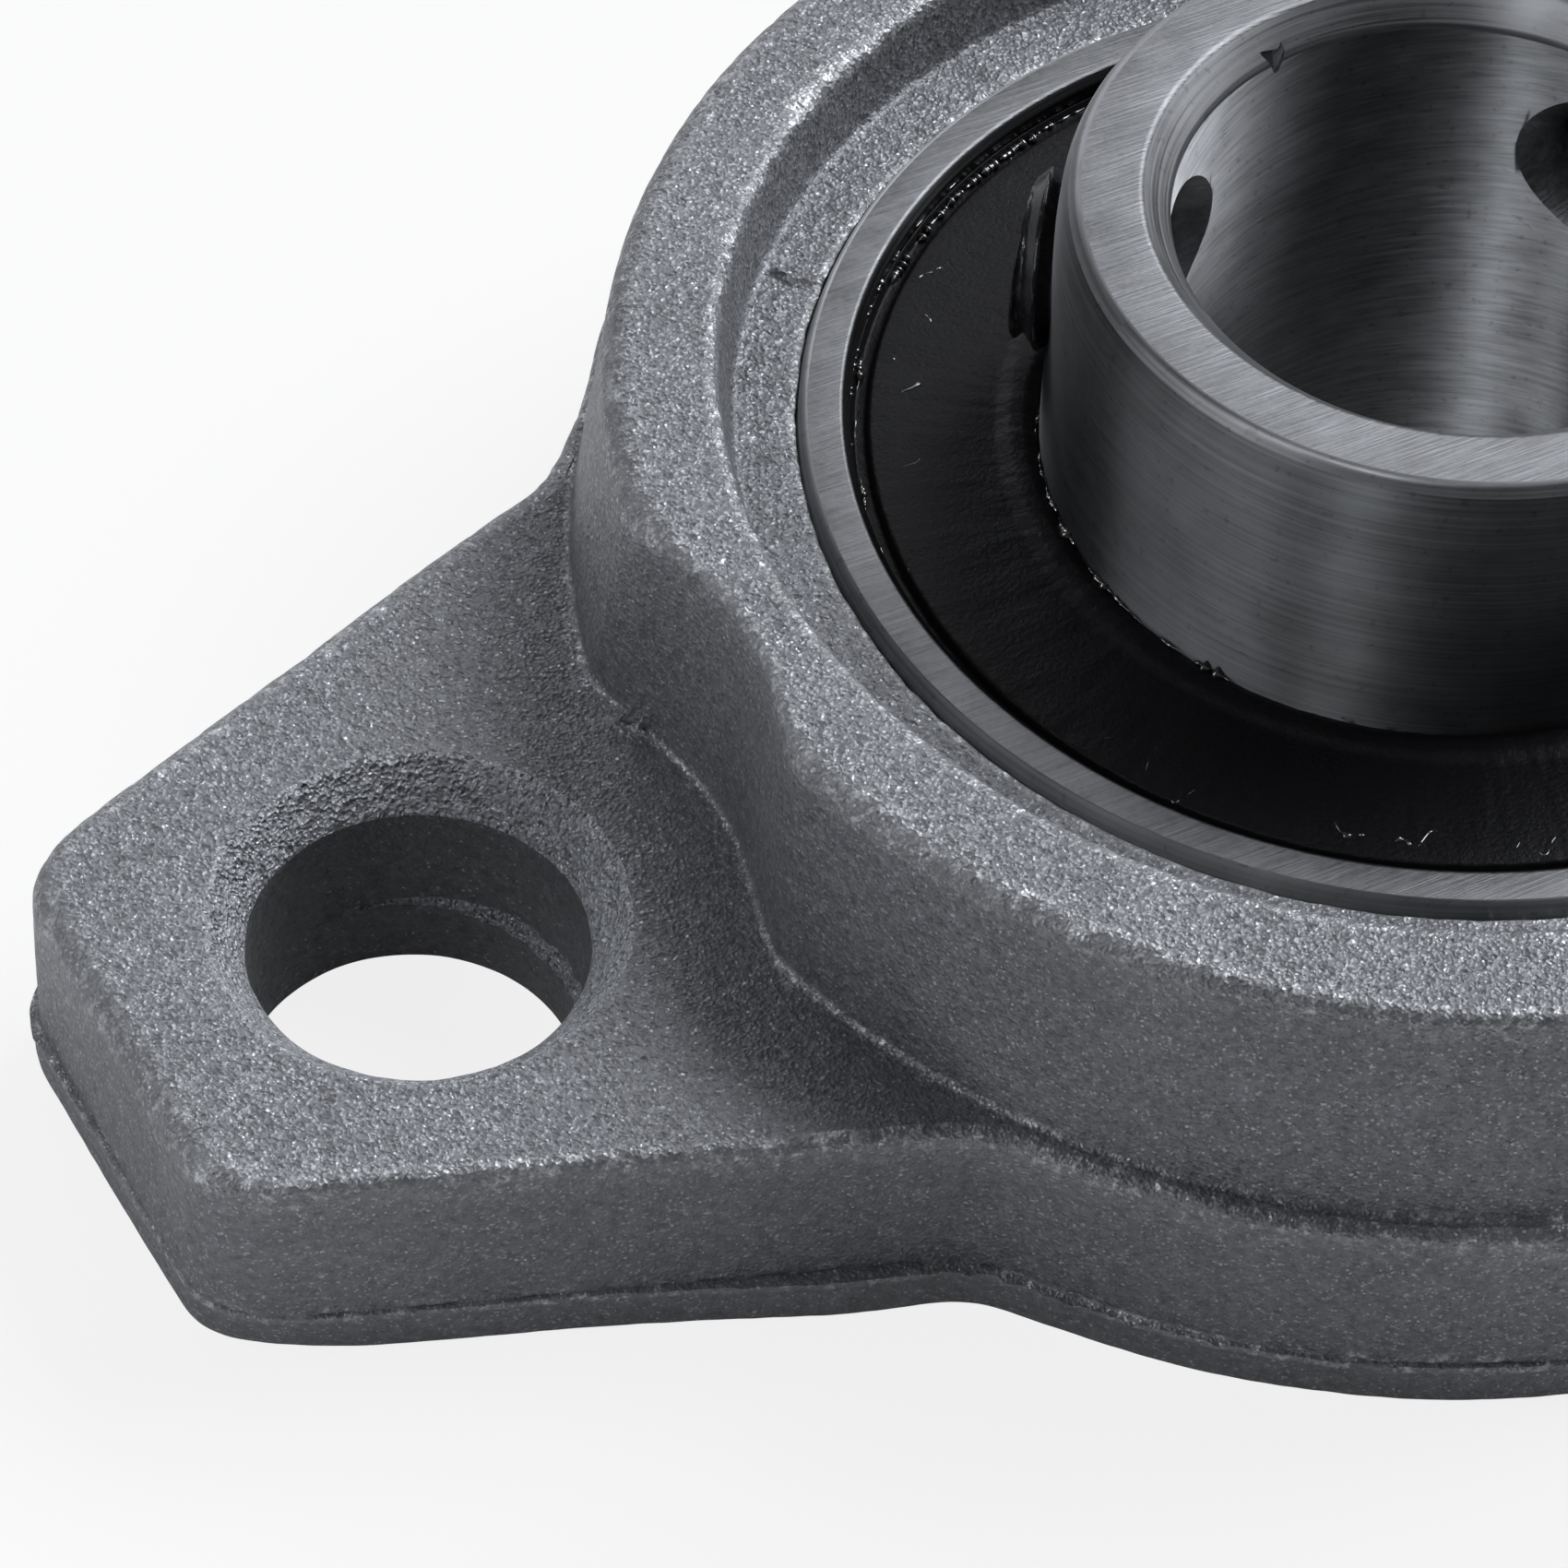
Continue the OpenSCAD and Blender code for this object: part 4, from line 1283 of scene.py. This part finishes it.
def soft_light(name, azimuth, elevation, distance, size, power):
    light = aimed(name, "AREA", azimuth, elevation, distance, power)
    light.shape = "RECTANGLE"
    light.size, light.size_y = size


def narrow_cone(name, azimuth, elevation, power):
    cone = aimed(name, "SPOT", azimuth, elevation, 0.5, power, target=(1, 1, 11))
    cone.spot_size, cone.spot_blend = math.radians(2.8), 0.4
    cone.shadow_soft_size = 0.008


# azimuth, elevation, distance, size, power
soft_light("key", 102, 46, 0.5, (0.4, 0.3), 2.8)
soft_light("behind", 172, 28, 0.5, (0.25, 0.25), 0.52)
soft_light("left", -95, 32, 0.09, (0.055, 0.04), 0.015)
# azimuth, elevation, power
narrow_cone("bore", -57, 60, 3.0)
narrow_cone("collar", -82, 46, 1.3)
print("lamps:", ", ".join(light.name for light in bpy.data.lights))

# %% [markdown]
# ## Camera
#
# The picture was taken from above on the left with a long lens. The view's angles, its target and
# its distance were fitted to the part's own circles, which is safer than matching by eye, and the
# matrix is written out so that the small roll stays exact.

# %% Camera, at the photograph's angle
view_azimuth, view_elevation, view_roll = -29.53, 49.0, 2.89
view_target = Vector((-13.087, 4.081, 0)) * MM
view_distance = 162.3 * MM
focal_share = 8000 / 1700


def make_camera():
    roll = math.radians(view_roll)
    back = towards(view_azimuth, view_elevation)
    level = Vector((0, 0, 1)).cross(back).normalized()
    upright = back.cross(level)
    right = math.cos(roll) * level + math.sin(roll) * upright
    up = -math.sin(roll) * level + math.cos(roll) * upright
    data = bpy.data.cameras.new("camera")
    data.sensor_width = 36
    data.lens = focal_share * data.sensor_width
    data.clip_start, data.clip_end = 0.01, 10
    camera = bpy.data.objects.new("camera", data)
    bpy.context.scene.collection.objects.link(camera)
    place = view_target + back * view_distance
    rows = [[right[i], up[i], back[i], place[i]] for i in range(3)]
    camera.matrix_world = Matrix([*rows, [0, 0, 0, 1]])
    bpy.context.scene.camera = camera


make_camera()
bpy.context.scene.view_settings.view_transform = "Standard"
print("camera", round(view_distance / MM, 1), "mm away, lens", round(bpy.context.scene.camera.data.lens, 1))
